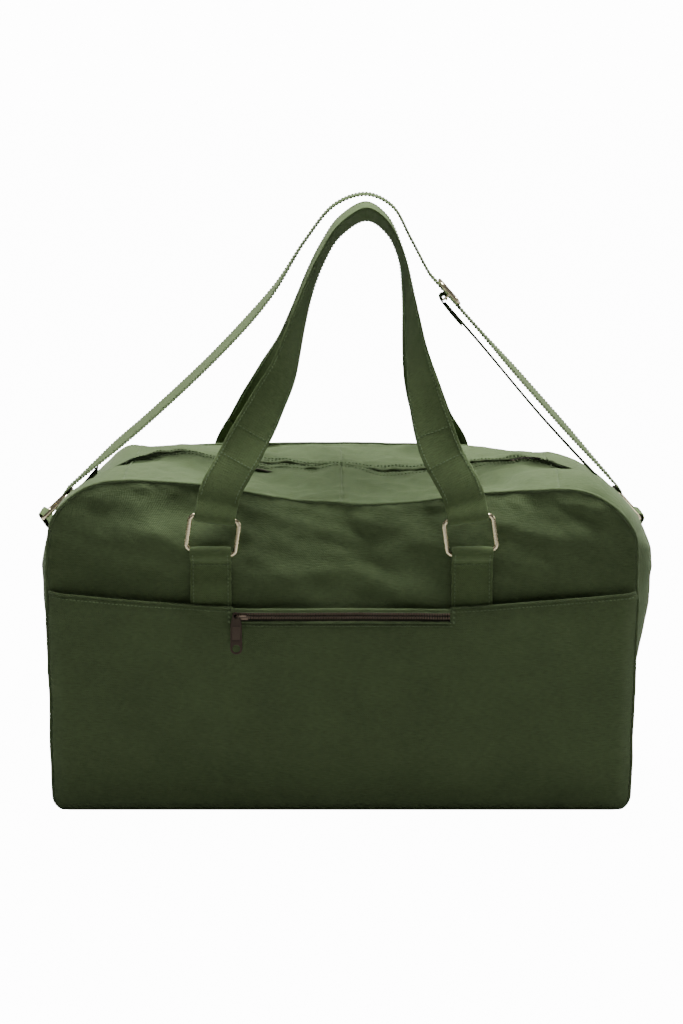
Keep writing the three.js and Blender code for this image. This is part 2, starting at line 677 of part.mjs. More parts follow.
// Distances along the right leg, from the side ring's upper bar.
function strapStations() {
  const legLeft = onStrap('left', leftTurn, 2, turnRadius);
  const legRight = onStrap('right', rightTurn, 2, turnRadius);
  const straight = [10, 3, -170].map((past) =>
    onStrap('right', rightTurn, adjusterAt + adjusterLength + past, turnRadius),
  );
  const lineLeft = onStrap('left', leftTurn, 55, turnRadius);
  const over = [...strapLeft, strapApex, ...strapRight].map(([x, z]) => point(x, 0, z));
  const route = [legLeft, lineLeft, ...over, ...straight, legRight];
  const curve = new THREE.CatmullRomCurve3(route, false, 'centripetal');
  const steps = 56;
  const stations = [];
  for (let i = 0; i <= steps; i++) {
    const along = curve.getTangentAt(i / steps);
    const face = along.clone().cross(Y).normalize();
    stations.push({ at: curve.getPointAt(i / steps), across: Y.clone(), face });
  }
  return stations;
}
const tailEnd = {
  at: onStrap('left', leftTurn, 34, -turnRadius),
  across: Y.clone(),
  face: leftTurn.out.clone().negate(),
};
const facingUp = (station) => (station.face.z < 0 ? { ...station, face: station.face.negate() } : station);
const strapBand = [
  tailEnd,
  ...leftTurn.stations,
  ...strapStations().map(facingUp),
  ...[...rightTurn.stations].reverse(),
];
addPiece('shoulder_strap', ribbon(strapBand, strapWidth, strapThickness), 'webbing');

const centreBarLift = turnRadius - strapThickness / 2 - gap - (adjusterBar / 2 + gap + 1.4);
const sewnRadius = adjusterBar / 2 + gap + 0.7;
const returnEnd = adjusterAt + adjusterLength / 2 - sewnEndLength;
const returnStations = [0.5, returnEnd / 2, returnEnd].map((distance, i) => ({
  at: onStrap('right', rightTurn, distance, i === 0 ? -turnRadius : centreBarLift - sewnRadius),
  across: Y.clone(),
  face: rightTurn.out.clone(),
}));
addPiece('strap_return', ribbon(returnStations, strapWidth, strapThickness), 'webbing');

// Band sewn around the adjuster's centre bar, with its tail along the return strand.
const centreAt = adjusterAt + adjusterLength / 2;
const sewnTail = {
  at: onStrap('right', rightTurn, returnEnd + gap, centreBarLift - sewnRadius),
  across: Y.clone(),
  face: rightTurn.out.clone().negate(),
};
const sewnStations = [sewnTail];
for (let i = 0; i <= 12; i++) {
  const angle = Math.PI * (1.36 * (i / 12) - 0.5);
  const face = rightTurn.out.clone().multiplyScalar(Math.sin(angle));
  face.addScaledVector(legUp.right, Math.cos(angle));
  const at = onStrap('right', rightTurn, centreAt, centreBarLift).addScaledVector(face, sewnRadius);
  sewnStations.push({ at, across: Y.clone(), face });
}
addPiece('strap_sewn_end', ribbon(sewnStations, strapWidth, 1.4), 'webbing');

function adjusterPiece(distanceA, distanceB, yA, yB, liftA, liftB) {
  const block = box([distanceA, yA, liftA], [distanceB, yB, liftB]);
  const basis = new THREE.Matrix4().makeBasis(legUp.right, Y, legUp.right.clone().cross(Y));
  const flip = legUp.right.clone().cross(Y).dot(rightTurn.out);
  if (flip < 0) {
    block.scale(1, 1, -1);
    const index = block.index.array;
    for (let i = 0; i < index.length; i += 3) [index[i], index[i + 1]] = [index[i + 1], index[i]];
  }
  block.applyMatrix4(basis.setPosition(upperBar.right));
  return block;
}
const overStrap = turnRadius + strapThickness / 2 + gap;
const railIn = strapWidth / 2 + 0.6;
const railOut = railIn + 3.4;
const adjusterHigh = adjusterAt + adjusterLength;
const adjusterParts = [];
for (const side of [-1, 1]) {
  const [y0, y1] = [side * railIn, side * railOut].sort((a, b) => a - b);
  const low = centreBarLift - adjusterBar / 2;
  adjusterParts.push(adjusterPiece(adjusterAt, adjusterHigh, y0, y1, low, overStrap + adjusterBar));
}
for (const start of [adjusterAt, adjusterHigh - adjusterBar]) {
  const end = start + adjusterBar;
  const outerBar = [start, end, -railOut + 0.5, railOut - 0.5];
  adjusterParts.push(adjusterPiece(...outerBar, overStrap, overStrap + adjusterBar));
}
const barHalf = adjusterBar * 0.36;
const centreBar = [centreAt - barHalf, centreAt + barHalf, -railOut + 0.5, railOut - 0.5];
adjusterParts.push(adjusterPiece(...centreBar, centreBarLift - barHalf, centreBarLift + barHalf));
addPiece('strap_adjuster', join(...adjusterParts), 'gold');

// Side rings and the tabs that hold them. A tab is a patch sewn to the gusset and a neck with its loop.
function gussetX(z, y) {
  const { wide, tall } = cornerAxes(y);
  const above = Math.max(0, z - (bagHeight - tall)) / tall;
  return halfWidth - wide + wide * Math.sqrt(1 - above * above);
}
// The neck's lower corners dip as the strap swings, so the patch ends below them.
const patchTop = neckHeight - 1 - (strapWidth / 2) * Math.sin(strapSwing);
for (const [side, word] of [[-1, 'left'], [1, 'right']]) {
  const patchGrid = (lift) => {
    const rows = [];
    for (let i = 0; i <= 4; i++) {
      const z = patchBottom + ((patchTop - patchBottom) * i) / 4;
      rows.push([-1, -0.5, 0, 0.5, 1].map((share) => {
        const y = (share * strapWidth) / 2;
        return point(side * (gussetX(z, 0) + lift), y, z);
      }));
    }
    return rows;
  };
  const lift = 1.2;
  addPiece(`side_tab_patch_${word}`, slab(patchGrid(lift + 1.6), patchGrid(lift)), 'webbing');
  const bar = barOf(side);
  const foot = point(side * (gussetX(neckHeight, 0) + lift + 1.4), 0, neckHeight + 0.6);
  const reach = bar.clone().sub(foot).normalize();
  const face = reach.clone().cross(Y).normalize();
  const loopIn = wire / 2 + running + barRise(strapWidth);
  const neckTop = bar.clone().addScaledVector(reach, -loopIn - loopWall / 2);
  const neck = ribbon(
    [foot, neckTop].map((at) => ({ at, across: Y.clone(), face })),
    strapWidth,
    2.4,
  );
  const loop = plate(annulus(loopIn + loopWall, loopIn), strapWidth, X, Z, bar);
  addPiece(`side_tab_loop_${word}`, join(neck, loop), 'webbing');
  const ringMiddle = bar.clone().addScaledVector(legUp[word], ringRise / 2);
  addPiece(`side_ring_${word}`, wireRing(ringInside + wire, ringRise, ringMiddle, Y, legUp[word]), 'gold');
}

export default bag;
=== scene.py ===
# %% [markdown]
# # A canvas duffel bag
# The bag is sewn from plain olive canvas: two panels, two gussets, a floor and a top that opens along a zip.
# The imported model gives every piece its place. This lesson wraps it in cloth that sags, then adds webbing,
# metal rings, zips and stitches. Lengths are metres; -Y is the front of the bag and +Z is up.

# %% Load the frame
import math

import bmesh
import bpy
import numpy as np
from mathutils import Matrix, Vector, noise
from numpy import linspace


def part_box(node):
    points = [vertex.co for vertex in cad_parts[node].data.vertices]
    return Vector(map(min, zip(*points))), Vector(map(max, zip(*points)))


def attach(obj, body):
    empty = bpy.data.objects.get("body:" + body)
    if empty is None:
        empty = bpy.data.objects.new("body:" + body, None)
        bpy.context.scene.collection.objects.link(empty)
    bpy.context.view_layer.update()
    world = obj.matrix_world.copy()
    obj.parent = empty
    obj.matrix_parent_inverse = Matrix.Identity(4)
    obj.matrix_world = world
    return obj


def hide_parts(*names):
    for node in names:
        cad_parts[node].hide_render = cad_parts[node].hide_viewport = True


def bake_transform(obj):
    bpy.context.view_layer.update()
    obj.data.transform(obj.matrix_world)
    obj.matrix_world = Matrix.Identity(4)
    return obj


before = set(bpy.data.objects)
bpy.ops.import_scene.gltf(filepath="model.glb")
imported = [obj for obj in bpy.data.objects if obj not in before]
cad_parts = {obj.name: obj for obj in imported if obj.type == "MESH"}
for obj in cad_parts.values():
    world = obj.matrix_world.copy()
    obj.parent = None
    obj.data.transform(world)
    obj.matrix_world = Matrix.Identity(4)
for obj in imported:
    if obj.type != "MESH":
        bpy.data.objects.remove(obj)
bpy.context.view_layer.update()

ROOT = "bag_shell"
DEPTHS = ((-1, "front"), (1, "back"))
HANDS = ((-1, "left"), (1, "right"))

# %% [markdown]
# ## Camera, light and floor
# The view is a long lens about two metres away, tipped ten degrees down, so the top of the bag shows a little.
# A broad soft light hangs overhead: cloth that faces up is pale, and the upright pocket stays dark.

# %% Helpers for objects and nodes
def place_object(name, data):
    obj = bpy.data.objects.new(name, data)
    bpy.context.collection.objects.link(obj)
    return obj


def add(tree, kind, **values):
    """A new node with constants on its named sockets; an underscore stands for a space."""
    node = tree.nodes.new(kind)
    for label, value in values.items():
        node.inputs[label.replace("_", " ")].default_value = value
    return node


def math_node(tree, operation, first, second):
    node = add(tree, "ShaderNodeMath")
    node.operation = operation
    for socket, value in zip(node.inputs, (first, second)):
        if isinstance(value, (int, float)):
            socket.default_value = value
        else:
            tree.links.new(value, socket)
    return node.outputs[0]


def times(tree, first, second):
    return math_node(tree, "MULTIPLY", first, second)


def plus(tree, first, second):
    return math_node(tree, "ADD", first, second)


def bright_to_camera(tree, plain, bright, output, share=1.0):
    """Rays from the camera meet the bright shader; light that bounces about meets the plain one."""
    mix = add(tree, "ShaderNodeMixShader")
    direct = times(tree, add(tree, "ShaderNodeLightPath").outputs["Is Camera Ray"], share)
    for source, socket in zip((direct, plain.outputs[0], bright.outputs[0]), mix.inputs):
        tree.links.new(source, socket)
    tree.links.new(mix.outputs[0], tree.nodes[output].inputs["Surface"])


# %% Camera and lights
camera = place_object("camera", bpy.data.cameras.new("camera"))
camera.data.lens = 85
camera.data.sensor_width = 36
camera.location = (0, -2.2514, 0.6644)
camera.rotation_euler = (math.radians(90 - 10.34), 0, 0)
bpy.context.scene.camera = camera


def soft_light(name, place, target, size, power):
    light = bpy.data.lights.new(name, "AREA")
    light.shape = "DISK"
    light.size = size
    light.energy = power
    lamp = place_object(name, light)
    lamp.location = place
    lamp.rotation_euler = (Vector(target) - Vector(place)).to_track_quat("-Z", "Y").to_euler()


soft_light("overhead", (0.1, 0.28, 2.3), (0, 0, 0.2), 1.5, 150)
soft_light("front_fill", (-1.2, -2.6, 1.9), (0, 0, 0.25), 1.8, 2.8)
soft_light("right_rim", (1.9, 0.3, 0.9), (0.2, 0, 0.25), 0.9, 8)
world = bpy.data.worlds.new("studio")
bpy.context.scene.world = world
world.use_nodes = True
sky = world.node_tree
ambient = sky.nodes["Background"]
ambient.inputs["Color"].default_value = (1, 1, 1, 1)
ambient.inputs["Strength"].default_value = 0.075
backdrop = add(sky, "ShaderNodeBackground", Color=(1, 1, 1, 1), Strength=14.0)
bright_to_camera(sky, ambient, backdrop, "World Output")

# %% [markdown]
# ## Cloth, thread and metal
# Canvas is a plain weave with slubs, so its bump is two crossed sets of fine waves, and its colour drifts a
# little from place to place. The weave is one node group, placed in every cloth with its own thread size.


# %% The weave group
def new_group(name, inputs, outputs):
    tree = bpy.data.node_groups.new(name, "ShaderNodeTree")
    for label, kind, value in inputs:
        socket = tree.interface.new_socket(label, in_out="INPUT", socket_type=kind)
        if value is not None:
            socket.default_value = value
    for label, kind in outputs:
        tree.interface.new_socket(label, in_out="OUTPUT", socket_type=kind)
    return tree, tree.nodes.new("NodeGroupInput"), tree.nodes.new("NodeGroupOutput")


def build_weave():
    tree, given, result = new_group(
        "weave",
        [("Place", "NodeSocketVector", None), ("Threads", "NodeSocketFloat", 900.0), ("Slub", "NodeSocketFloat", 0.4)],
        [("Height", "NodeSocketFloat"), ("Shade", "NodeSocketFloat"), ("Drift", "NodeSocketFloat")],
    )
    links = tree.links
    place = given.outputs["Place"]
    wobble = add(tree, "ShaderNodeTexNoise", Scale=90, Detail=3)
    slubs = add(tree, "ShaderNodeTexNoise", Scale=520, Detail=2)
    cloud = add(tree, "ShaderNodeTexNoise", Scale=14, Detail=4)
    stretch = add(tree, "ShaderNodeMapping", Rotation=(0, 0, 0.9), Scale=(0.35, 1.6, 1))
    split = add(tree, "ShaderNodeSeparateXYZ")
    for reader in (wobble.inputs["Vector"], split.inputs[0], stretch.inputs["Vector"], cloud.inputs["Vector"]):
        links.new(place, reader)
    links.new(stretch.outputs[0], slubs.inputs["Vector"])
    bend = times(tree, wobble.outputs["Fac"], 3.0)
    waves = []
    for axis in (0, 1):
        turn = times(tree, times(tree, split.outputs[axis], given.outputs["Threads"]), 2 * math.pi)
        waves.append(math_node(tree, "SINE", plus(tree, turn, bend), 0.0))
    over = times(tree, *waves)
    slub = times(tree, slubs.outputs["Fac"], given.outputs["Slub"])
    links.new(plus(tree, times(tree, over, 0.35), times(tree, slub, 2.0)), result.inputs["Height"])
    links.new(plus(tree, times(tree, over, 0.12), slub), result.inputs["Shade"])
    links.new(cloud.outputs["Fac"], result.inputs["Drift"])
    return tree


weave = build_weave()
print("weave group has", len(weave.nodes), "nodes")


# %% Cloth materials
def new_material(name, pattern):
    """A material with one shader and one pattern group: its tree, shader and group."""
    material = bpy.data.materials.new(name)
    material.use_nodes = True
    tree = material.node_tree
    group = add(tree, "ShaderNodeGroup")
    group.node_tree = pattern
    return material, tree, tree.nodes["Principled BSDF"], group


def blend_colours(tree, share, first, second, shader):
    mix = add(tree, "ShaderNodeMix")
    mix.data_type = "RGBA"
    mix.inputs[6].default_value = (*first, 1)
    mix.inputs[7].default_value = (*second, 1)
    tree.links.new(share, mix.inputs[0])
    tree.links.new(mix.outputs[2], shader.inputs["Base Color"])


def emboss(tree, height, strength, distance, shader):
    relief = add(tree, "ShaderNodeBump", Strength=strength, Distance=distance)
    tree.links.new(height, relief.inputs["Height"])
    tree.links.new(relief.outputs[0], shader.inputs["Normal"])


def cloth(name, dark, light, threads, slub=0.4, rough=0.92, sheen=0.25, bump=0.5, place="UV"):
    material, tree, shader, group = new_material(name, weave)
    group.inputs["Threads"].default_value = threads
    group.inputs["Slub"].default_value = slub
    tree.links.new(add(tree, "ShaderNodeTexCoord").outputs[place], group.inputs["Place"])
    drift = group.outputs["Drift"]
    blend_colours(tree, plus(tree, group.outputs["Shade"], times(tree, drift, 0.6)), dark, light, shader)
    tree.links.new(plus(tree, times(tree, drift, 0.08), rough - 0.05), shader.inputs["Roughness"])
    emboss(tree, group.outputs["Height"], bump, 0.0004, shader)
    shader.inputs["Sheen Weight"].default_value = sheen
    shader.inputs["Sheen Roughness"].default_value = 0.6
    shader.inputs["Sheen Tint"].default_value = (0.75, 0.9, 0.6, 1)
    shader.inputs["Specular IOR Level"].default_value = 0.2
    return material


canvas = cloth("olive_canvas", (0.022, 0.038, 0.011), (0.082, 0.118, 0.046), 620, slub=0.7, bump=0.8)
webbing = cloth("olive_webbing", (0.030, 0.050, 0.015), (0.104, 0.148, 0.058), 520, slub=0.6, sheen=0.1, bump=0.8)
thread = cloth("green_thread", (0.055, 0.085, 0.034), (0.12, 0.17, 0.08), 3000, rough=0.8, bump=0.2)
zip_cloth = cloth("zip_tape", (0.020, 0.018, 0.012), (0.045, 0.038, 0.026), 1400)
seam_cloth = cloth("seam_tape", (0.20, 0.19, 0.12), (0.30, 0.28, 0.19), 900)


# %% [markdown]
# ## Metal with worn edges
# The rings are pale gold plate, the zips dark bronze. Both get fine scratches in the roughness, and the bronze
# rubs bright where its edges stand out, which the Pointiness of the surface finds.


# %% Wear group and metal materials
def build_wear():
    tree, _, result = new_group("metal_wear", [], [("Edge", "NodeSocketFloat"), ("Scuff", "NodeSocketFloat")])
    spread = add(tree, "ShaderNodeMapRange", From_Min=0.5, From_Max=0.62)
    tree.links.new(add(tree, "ShaderNodeNewGeometry").outputs["Pointiness"], spread.inputs["Value"])
    tree.links.new(spread.outputs[0], result.inputs["Edge"])
    scuff = add(tree, "ShaderNodeTexNoise", Scale=900, Detail=4)
    tree.links.new(add(tree, "ShaderNodeTexCoord").outputs["Object"], scuff.inputs["Vector"])
    tree.links.new(scuff.outputs["Fac"], result.inputs["Scuff"])
    return tree


wear = build_wear()


def metal(name, body, bright, rough):
    material, tree, shader, group = new_material(name, wear)
    blend_colours(tree, group.outputs["Edge"], body, bright, shader)
    polish = plus(tree, times(tree, group.outputs["Scuff"], 0.18), rough - 0.09)
    tree.links.new(polish, shader.inputs["Roughness"])
    emboss(tree, group.outputs["Scuff"], 0.15, 0.0002, shader)
    shader.inputs["Metallic"].default_value = 1.0
    return material


gold = metal("pale_gold", (0.80, 0.68, 0.42), (0.92, 0.84, 0.62), 0.26)
bronze = metal("dark_bronze", (0.040, 0.031, 0.025), (0.15, 0.115, 0.085), 0.36)
board_skin = cloth(
    "stiffener_board", (0.018, 0.018, 0.016), (0.035, 0.034, 0.03), 200, rough=0.7, sheen=0.0, place="Object"
)
inner_canvas = cloth("inner_canvas", (0.040, 0.060, 0.020), (0.075, 0.105, 0.042), 620, place="Object")
FINISH = {
    "canvas": canvas, "webbing": webbing, "gold": gold, "bronze": bronze, "tape": zip_cloth,
    "lining": seam_cloth, "board": board_skin, "thread": thread,
}

# %% [markdown]
# ## How a piece of cloth is built
# Every cloth piece starts as a grid of points. Its inner face is the same grid moved inward along the normals,
# and walls close the edge, so that the piece is a thin solid. The UV map holds real lengths for the weave.


# %% Lines, normals and finished pieces
def unit(vectors):
    return vectors / np.linalg.norm(vectors, axis=-1, keepdims=True)


def run_along(path):
    """The length walked at each point of a line."""
    return np.concatenate([[0], np.cumsum(np.linalg.norm(np.diff(path, axis=0), axis=1))])


def grid_normals(grid):
    normal = np.cross(np.gradient(grid, axis=0), np.gradient(grid, axis=1))
    return normal / np.maximum(np.linalg.norm(normal, axis=2, keepdims=True), 1e-12)


def finish_piece(obj, finish, body, replaced=()):
    obj.data.materials.clear()
    obj.data.materials.append(FINISH[finish])
    if replaced:
        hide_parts(*replaced)
    if body:
        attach(obj, body)
    return obj


def link_mesh(name, points, faces, uvs=None):
    mesh = bpy.data.meshes.new(name)
    mesh.from_pydata([tuple(p) for p in points], [], faces)
    mesh.update()
    if uvs is not None:
        layer = mesh.uv_layers.new(name="cloth")
        corner = np.array([uvs[loop.vertex_index] for loop in mesh.loops], np.float32)
        layer.data.foreach_set("uv", corner.ravel())
    mesh.shade_smooth()
    return place_object(name, mesh)


def outward_faces(points, faces):
    """The faces, all turned over if they enclose a negative volume."""
    p = np.asarray(points)
    total = 0.0
    for face in faces:
        for i in range(1, len(face) - 1):
            total += float(np.dot(p[face[0]], np.cross(p[face[i]], p[face[i + 1]])))
    return [tuple(reversed(face)) for face in faces] if total < 0 else faces


# %% Cloth solid from a grid
def cloth_piece(name, grid, thickness, finish, body, replaced=(), keep=None, outward=None):
    """A closed thin solid. `outward` is the way that its outer face looks."""
    rows, columns = grid.shape[:2]
    normal = grid_normals(grid)
    if outward is not None and np.sum(normal * np.array(outward)) < 0:
        normal = -normal
    outer = grid.reshape(-1, 3)
    inner = (grid - normal * thickness).reshape(-1, 3)
    corners = (i * columns + j for i in range(rows - 1) for j in range(columns - 1) if keep is None or keep[i, j])
    faces = [(a, a + 1, a + columns + 1, a + columns) for a in corners]
    edges = {edge for face in faces for edge in zip(face, face[1:] + face[:1])}
    used = sorted({v for face in faces for v in face})
    place = {v: k for k, v in enumerate(used)}
    total = len(used)
    points = np.vstack([outer[used], inner[used]])
    solid = [tuple(place[v] for v in face) for face in faces]
    solid += [tuple(place[v] + total for v in reversed(face)) for face in faces]
    border = [(a, b) for face in faces for a, b in zip(face, face[1:] + face[:1]) if (b, a) not in edges]
    solid += [(place[b], place[a], place[a] + total, place[b] + total) for a, b in border]

    def walked(points):
        return np.concatenate([[0], np.cumsum(np.linalg.norm(np.diff(points, axis=0), axis=2).mean(axis=1))])

    down, over = walked(grid), walked(grid.swapaxes(0, 1))
    flat = np.array([(x, y) for y in down for x in over])[used]
    obj = link_mesh(name, points, outward_faces(points, solid), np.vstack([flat, flat]))
    for polygon in obj.data.polygons[2 * len(faces) :]:
        polygon.use_smooth = False
    return finish_piece(obj, finish, body, replaced)


# %% [markdown]
# ## The shape of the soft bag
# The panels, gussets and top share one soft shape. A point of the flat pattern moves by what the cloth does
# there: the gussets belly out, the top sags between the handles, and shallow creases run through all of it.
# Because every piece reads the same function, the seams stay closed.

# %% Sizes from the frame
panel_low, panel_high = (np.array(c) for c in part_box("front_panel"))
HALF_WIDTH = panel_high[0]
HEIGHT = panel_high[2]
FRONT = -panel_low[1]
SEAM = -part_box("side_gusset_left")[0][1]
TOP_CORNER, FOOT_CORNER = 0.060, 0.014
SADDLE_IN, SADDLE_DOWN = 0.010, 0.050
SKIN = 0.0014
print("bag", 2 * HALF_WIDTH, "wide", HEIGHT, "high", 2 * FRONT, "deep")


# %% The soft shape
def table(value, stops):
    return np.interp(value, [s[0] for s in stops], [s[1] for s in stops])


SAG_FRONT = [(-0.24, 0.002), (-0.19, 0.003), (-0.125, -0.002), (-0.04, -0.017), (0.02, -0.020), (0.07, -0.018),
             (0.125, -0.010), (0.19, -0.005), (0.245, -0.006)]
SAG_MIDDLE = [(-0.235, -0.006), (-0.18, 0.005), (-0.10, 0.005), (0.0, -0.007), (0.1, -0.006), (0.17, -0.002),
              (0.235, -0.008)]
SAG_BACK = [(-0.235, -0.016), (-0.2, -0.003), (-0.1, 0.003), (0.03, 0.003), (0.12, -0.001), (0.18, -0.008),
            (0.23, -0.022)]


def crease(points, scale, seed):
    shift = Vector((seed, seed * 1.7, seed * 0.6))
    return np.array([noise.fractal(Vector(p * scale) + shift, 0.9, 2.1, 4) for p in points])


def smooth_step(value):
    value = np.clip(value, 0, 1)
    return value * value * (3 - 2 * value)


def soft_shape(flat, creases=1.0):
    shape = flat.shape
    p = flat.reshape(-1, 3)
    x, y, z = p[:, 0].copy(), p[:, 1].copy(), p[:, 2].copy()
    across = np.clip(x / HALF_WIDTH, -1, 1)
    deep = np.clip(y / SEAM, -1, 1)
    high = np.clip(z / HEIGHT, 0, 1)
    # The gussets belly out, and the right one hangs a little further.
    belly = (1 - deep**2) * np.sin(np.pi * high**1.5) ** 0.9 * np.where(x > 0, 0.004, 0.003)
    x = x + np.sign(across) * np.abs(across) ** 6 * belly
    x = x + np.where(across > 0, 0.004, 0.0) * high**2 * across**4 * (1 - high**6)
    x = x * (1 - 0.010 * (1 - high) ** 2)
    # The panels fill out below, and the top edge sags and rolls inward.
    full = np.sin(np.pi * np.clip(high / 0.8, 0, 1)) * (1 - across**4)
    y = y + np.sign(deep) * np.abs(deep) ** 5 * full * 0.004
    sag = (
        table(p[:, 0], SAG_FRONT) * np.clip(-deep, 0, 1)
        + table(p[:, 0], SAG_BACK) * np.clip(deep, 0, 1)
        + table(p[:, 0], SAG_MIDDLE) * (1 - np.abs(deep))
    )
    z = z + sag * smooth_step((high - 0.62) / 0.38)
    roll = np.clip((high - 0.64) / 0.36, 0, 1) ** 2 * np.abs(deep) ** 3 * (1 - across**4)
    y = y - np.sign(deep) * roll * 0.018
    beyond = np.maximum(p[:, 2] - (HEIGHT - 0.090), 0.0), np.maximum(np.abs(p[:, 0]) - 0.20, 1e-4)
    round_the_corner = np.arctan2(*beyond)
    # Cloth puffs up in two lobes beside the strap, over the top corners.
    lobes = 1.6 * (1 - deep**2) * (2.2 * deep**2 + 0.15)
    shoulder = smooth_step((high - 0.30) / 0.45) * smooth_step((np.abs(p[:, 0]) - 0.175) / 0.06)
    puff = lobes * shoulder * np.where(across > 0, 0.017, 0.007)
    x = x + np.sign(across) * np.cos(round_the_corner) * puff
    z = z + np.sin(round_the_corner) * puff * 0.8
    # Creases run slantwise, strongest near the top.
    slanted = p + np.stack([p[:, 2] * 0.7, 0 * p[:, 2], 0 * p[:, 2]], axis=1)
    broad = crease(slanted * np.array([1.0, 1.0, 1.6]), 9.0, 3.1)
    fine = crease(slanted * np.array([1.0, 1.0, 1.5]), 30.0, 8.4)
    steady = np.clip(high / 0.1, 0, 1) * creases
    ease = 0.28 + 0.72 * smooth_step((high - 0.55) / 0.25)
    push = (broad * 0.0085 + fine * 0.0016) * steady * ease
    x = x + np.sign(across) * np.abs(across) ** 8 * push * 0.45
    y = y + np.sign(deep) * np.abs(deep) ** 8 * push
    z = z + np.clip((high - 0.9) / 0.1, 0, 1) * (1 - np.abs(deep) ** 8) * (1 - np.abs(across) ** 8) * push * 1.3
    return np.stack([x, y, z], axis=1).reshape(shape)


# %% [markdown]
# ## Front and back panels
# A panel is a rectangle with rounded corners. Rows of the grid are drawn from side to side at each height, so
# the rows simply get shorter inside the corners.


# %% Panels
def half_width_at(z, foot=FOOT_CORNER, edge=HALF_WIDTH):
    if z < foot:
        return edge - foot + math.sqrt(max(0.0, foot**2 - (foot - z) ** 2))
    over = z - (HEIGHT - TOP_CORNER)
    if over > 0:
        return edge - TOP_CORNER + math.sqrt(max(0.0, TOP_CORNER**2 - over**2))
    return edge


def rounded(count):
    """Heights that crowd together near the rounded foot and the rounded top."""
    foot = FOOT_CORNER * (1 - np.cos(linspace(0, np.pi / 2, 7)[:-1]))
    top = HEIGHT - TOP_CORNER * (1 - np.sin(linspace(0, np.pi / 2, 19)))
    middle = linspace(FOOT_CORNER, HEIGHT - TOP_CORNER, count)[:-1]
    return np.concatenate([foot, middle, top])


def panel_grid(side):
    spread = linspace(-1, 1, 111)
    rows = [[(half_width_at(z) * s, side * FRONT, z) for s in spread] for z in rounded(46)]
    return np.array(rows)


for side, word in DEPTHS:
    panel = cloth_piece(
        f"{word}_canvas", soft_shape(panel_grid(side)), SKIN, "canvas", ROOT, [f"{word}_panel"], outward=(0, side, 0)
    )
    print(panel.name, len(panel.data.polygons), "faces")

# %% [markdown]
# ## Gussets and floor
# A gusset is one long strip from the floor, up the side and over the corner to the end of the mouth. Half way
# between the panels its corner is drawn in by the strap, so its bend is an ellipse that grows towards the middle.


# %% Gussets and floor
def corner_axes(y):
    share = math.cos(math.pi * y / (2 * FRONT))
    return TOP_CORNER + SADDLE_IN * share, TOP_CORNER + SADDLE_DOWN * share


TOP_END = 0.196  # the gusset stops here, and the top's two halves begin


def gusset_row(side, y, end=TOP_END):
    wide, tall = corner_axes(y)
    turn = linspace(0, np.pi / 2, 9)
    bend = linspace(0, np.pi / 2, 26)
    rise = linspace(FOOT_CORNER, HEIGHT - tall, 26)[1:-1]
    foot_x = HALF_WIDTH - FOOT_CORNER + FOOT_CORNER * np.sin(turn)
    foot_z = FOOT_CORNER - FOOT_CORNER * np.cos(turn)
    top_x = HALF_WIDTH - wide + wide * np.cos(bend)
    top_z = HEIGHT - tall + tall * np.sin(bend)
    last = linspace(top_x[-1], end, 4)[1:]
    xs = np.concatenate([foot_x, np.full(len(rise), HALF_WIDTH), top_x, last])
    zs = np.concatenate([foot_z, rise, top_z, np.full(3, HEIGHT)])
    return np.stack([side * xs, np.full(len(xs), y), zs], axis=1)


widths = SEAM * np.sin(linspace(-np.pi / 2, np.pi / 2, 45))
for side, word in HANDS:
    grid = np.array([gusset_row(side, y) for y in widths])
    cloth_piece(
        f"{word}_gusset_canvas", soft_shape(grid), SKIN, "canvas", ROOT, [f"side_gusset_{word}"], outward=(side, 0, 0.3)
    )
floor_half = HALF_WIDTH - FOOT_CORNER
floor_grid = np.array([[(x, y, 0.0) for x in linspace(-floor_half, floor_half, 60)] for y in linspace(-SEAM, SEAM, 30)])
cloth_piece("floor_canvas", soft_shape(floor_grid), 0.002, "canvas", ROOT, ["base_panel"], outward=(0, 0, -1))


# %% [markdown]
# ## Rolled seams
# Where a panel meets a gusset the two edges are sewn together and turned, which leaves a narrow roll of cloth
# that catches the light. It is a thin tube along the panel's outline; inside, seam tape covers the raw edge.


# %% Tubes and seam rolls
def sleeve(rings, closed=False):
    """Points and faces of a skin over rings of points, with capped ends unless it is closed."""
    count, sides = len(rings), len(rings[0])
    points = [p for ring in rings for p in ring]
    faces = []
    for i in range(count if closed else count - 1):
        here, there = i * sides, (i + 1) % count * sides
        for k in range(sides):
            n = (k + 1) % sides
            faces.append((here + k, here + n, there + n, there + k))
    if not closed:
        faces += [tuple(range(sides))[::-1], tuple((count - 1) * sides + k for k in range(sides))]
    return points, outward_faces(points, faces)


def wire(path, radius, sides, closed=False):
    """Points and faces of a round wire along a line."""
    path = np.asarray(path, float)
    way = np.roll(path, -1, axis=0) - np.roll(path, 1, axis=0) if closed else np.gradient(path, axis=0)
    way = unit(way)
    turn = linspace(0, 2 * np.pi, sides, endpoint=False)[:, None]
    frame_x = unit(np.cross(way[0], (0.3, 0.2, 0.9)))
    rings = []
    for spot, along in zip(path, way):
        frame_x = unit(frame_x - along * np.dot(frame_x, along))
        frame_y = np.cross(along, frame_x)
        rings.append(spot + radius * (np.cos(turn) * frame_x + np.sin(turn) * frame_y))
    return sleeve(rings, closed)


def tube(name, path, radius, sides, finish, body, replaced=(), closed=False):
    uvs = [(reach, 2 * math.pi * radius * k / sides) for reach in run_along(path) for k in range(sides)]
    return finish_piece(link_mesh(name, *wire(path, radius, sides, closed), uvs), finish, body, replaced)


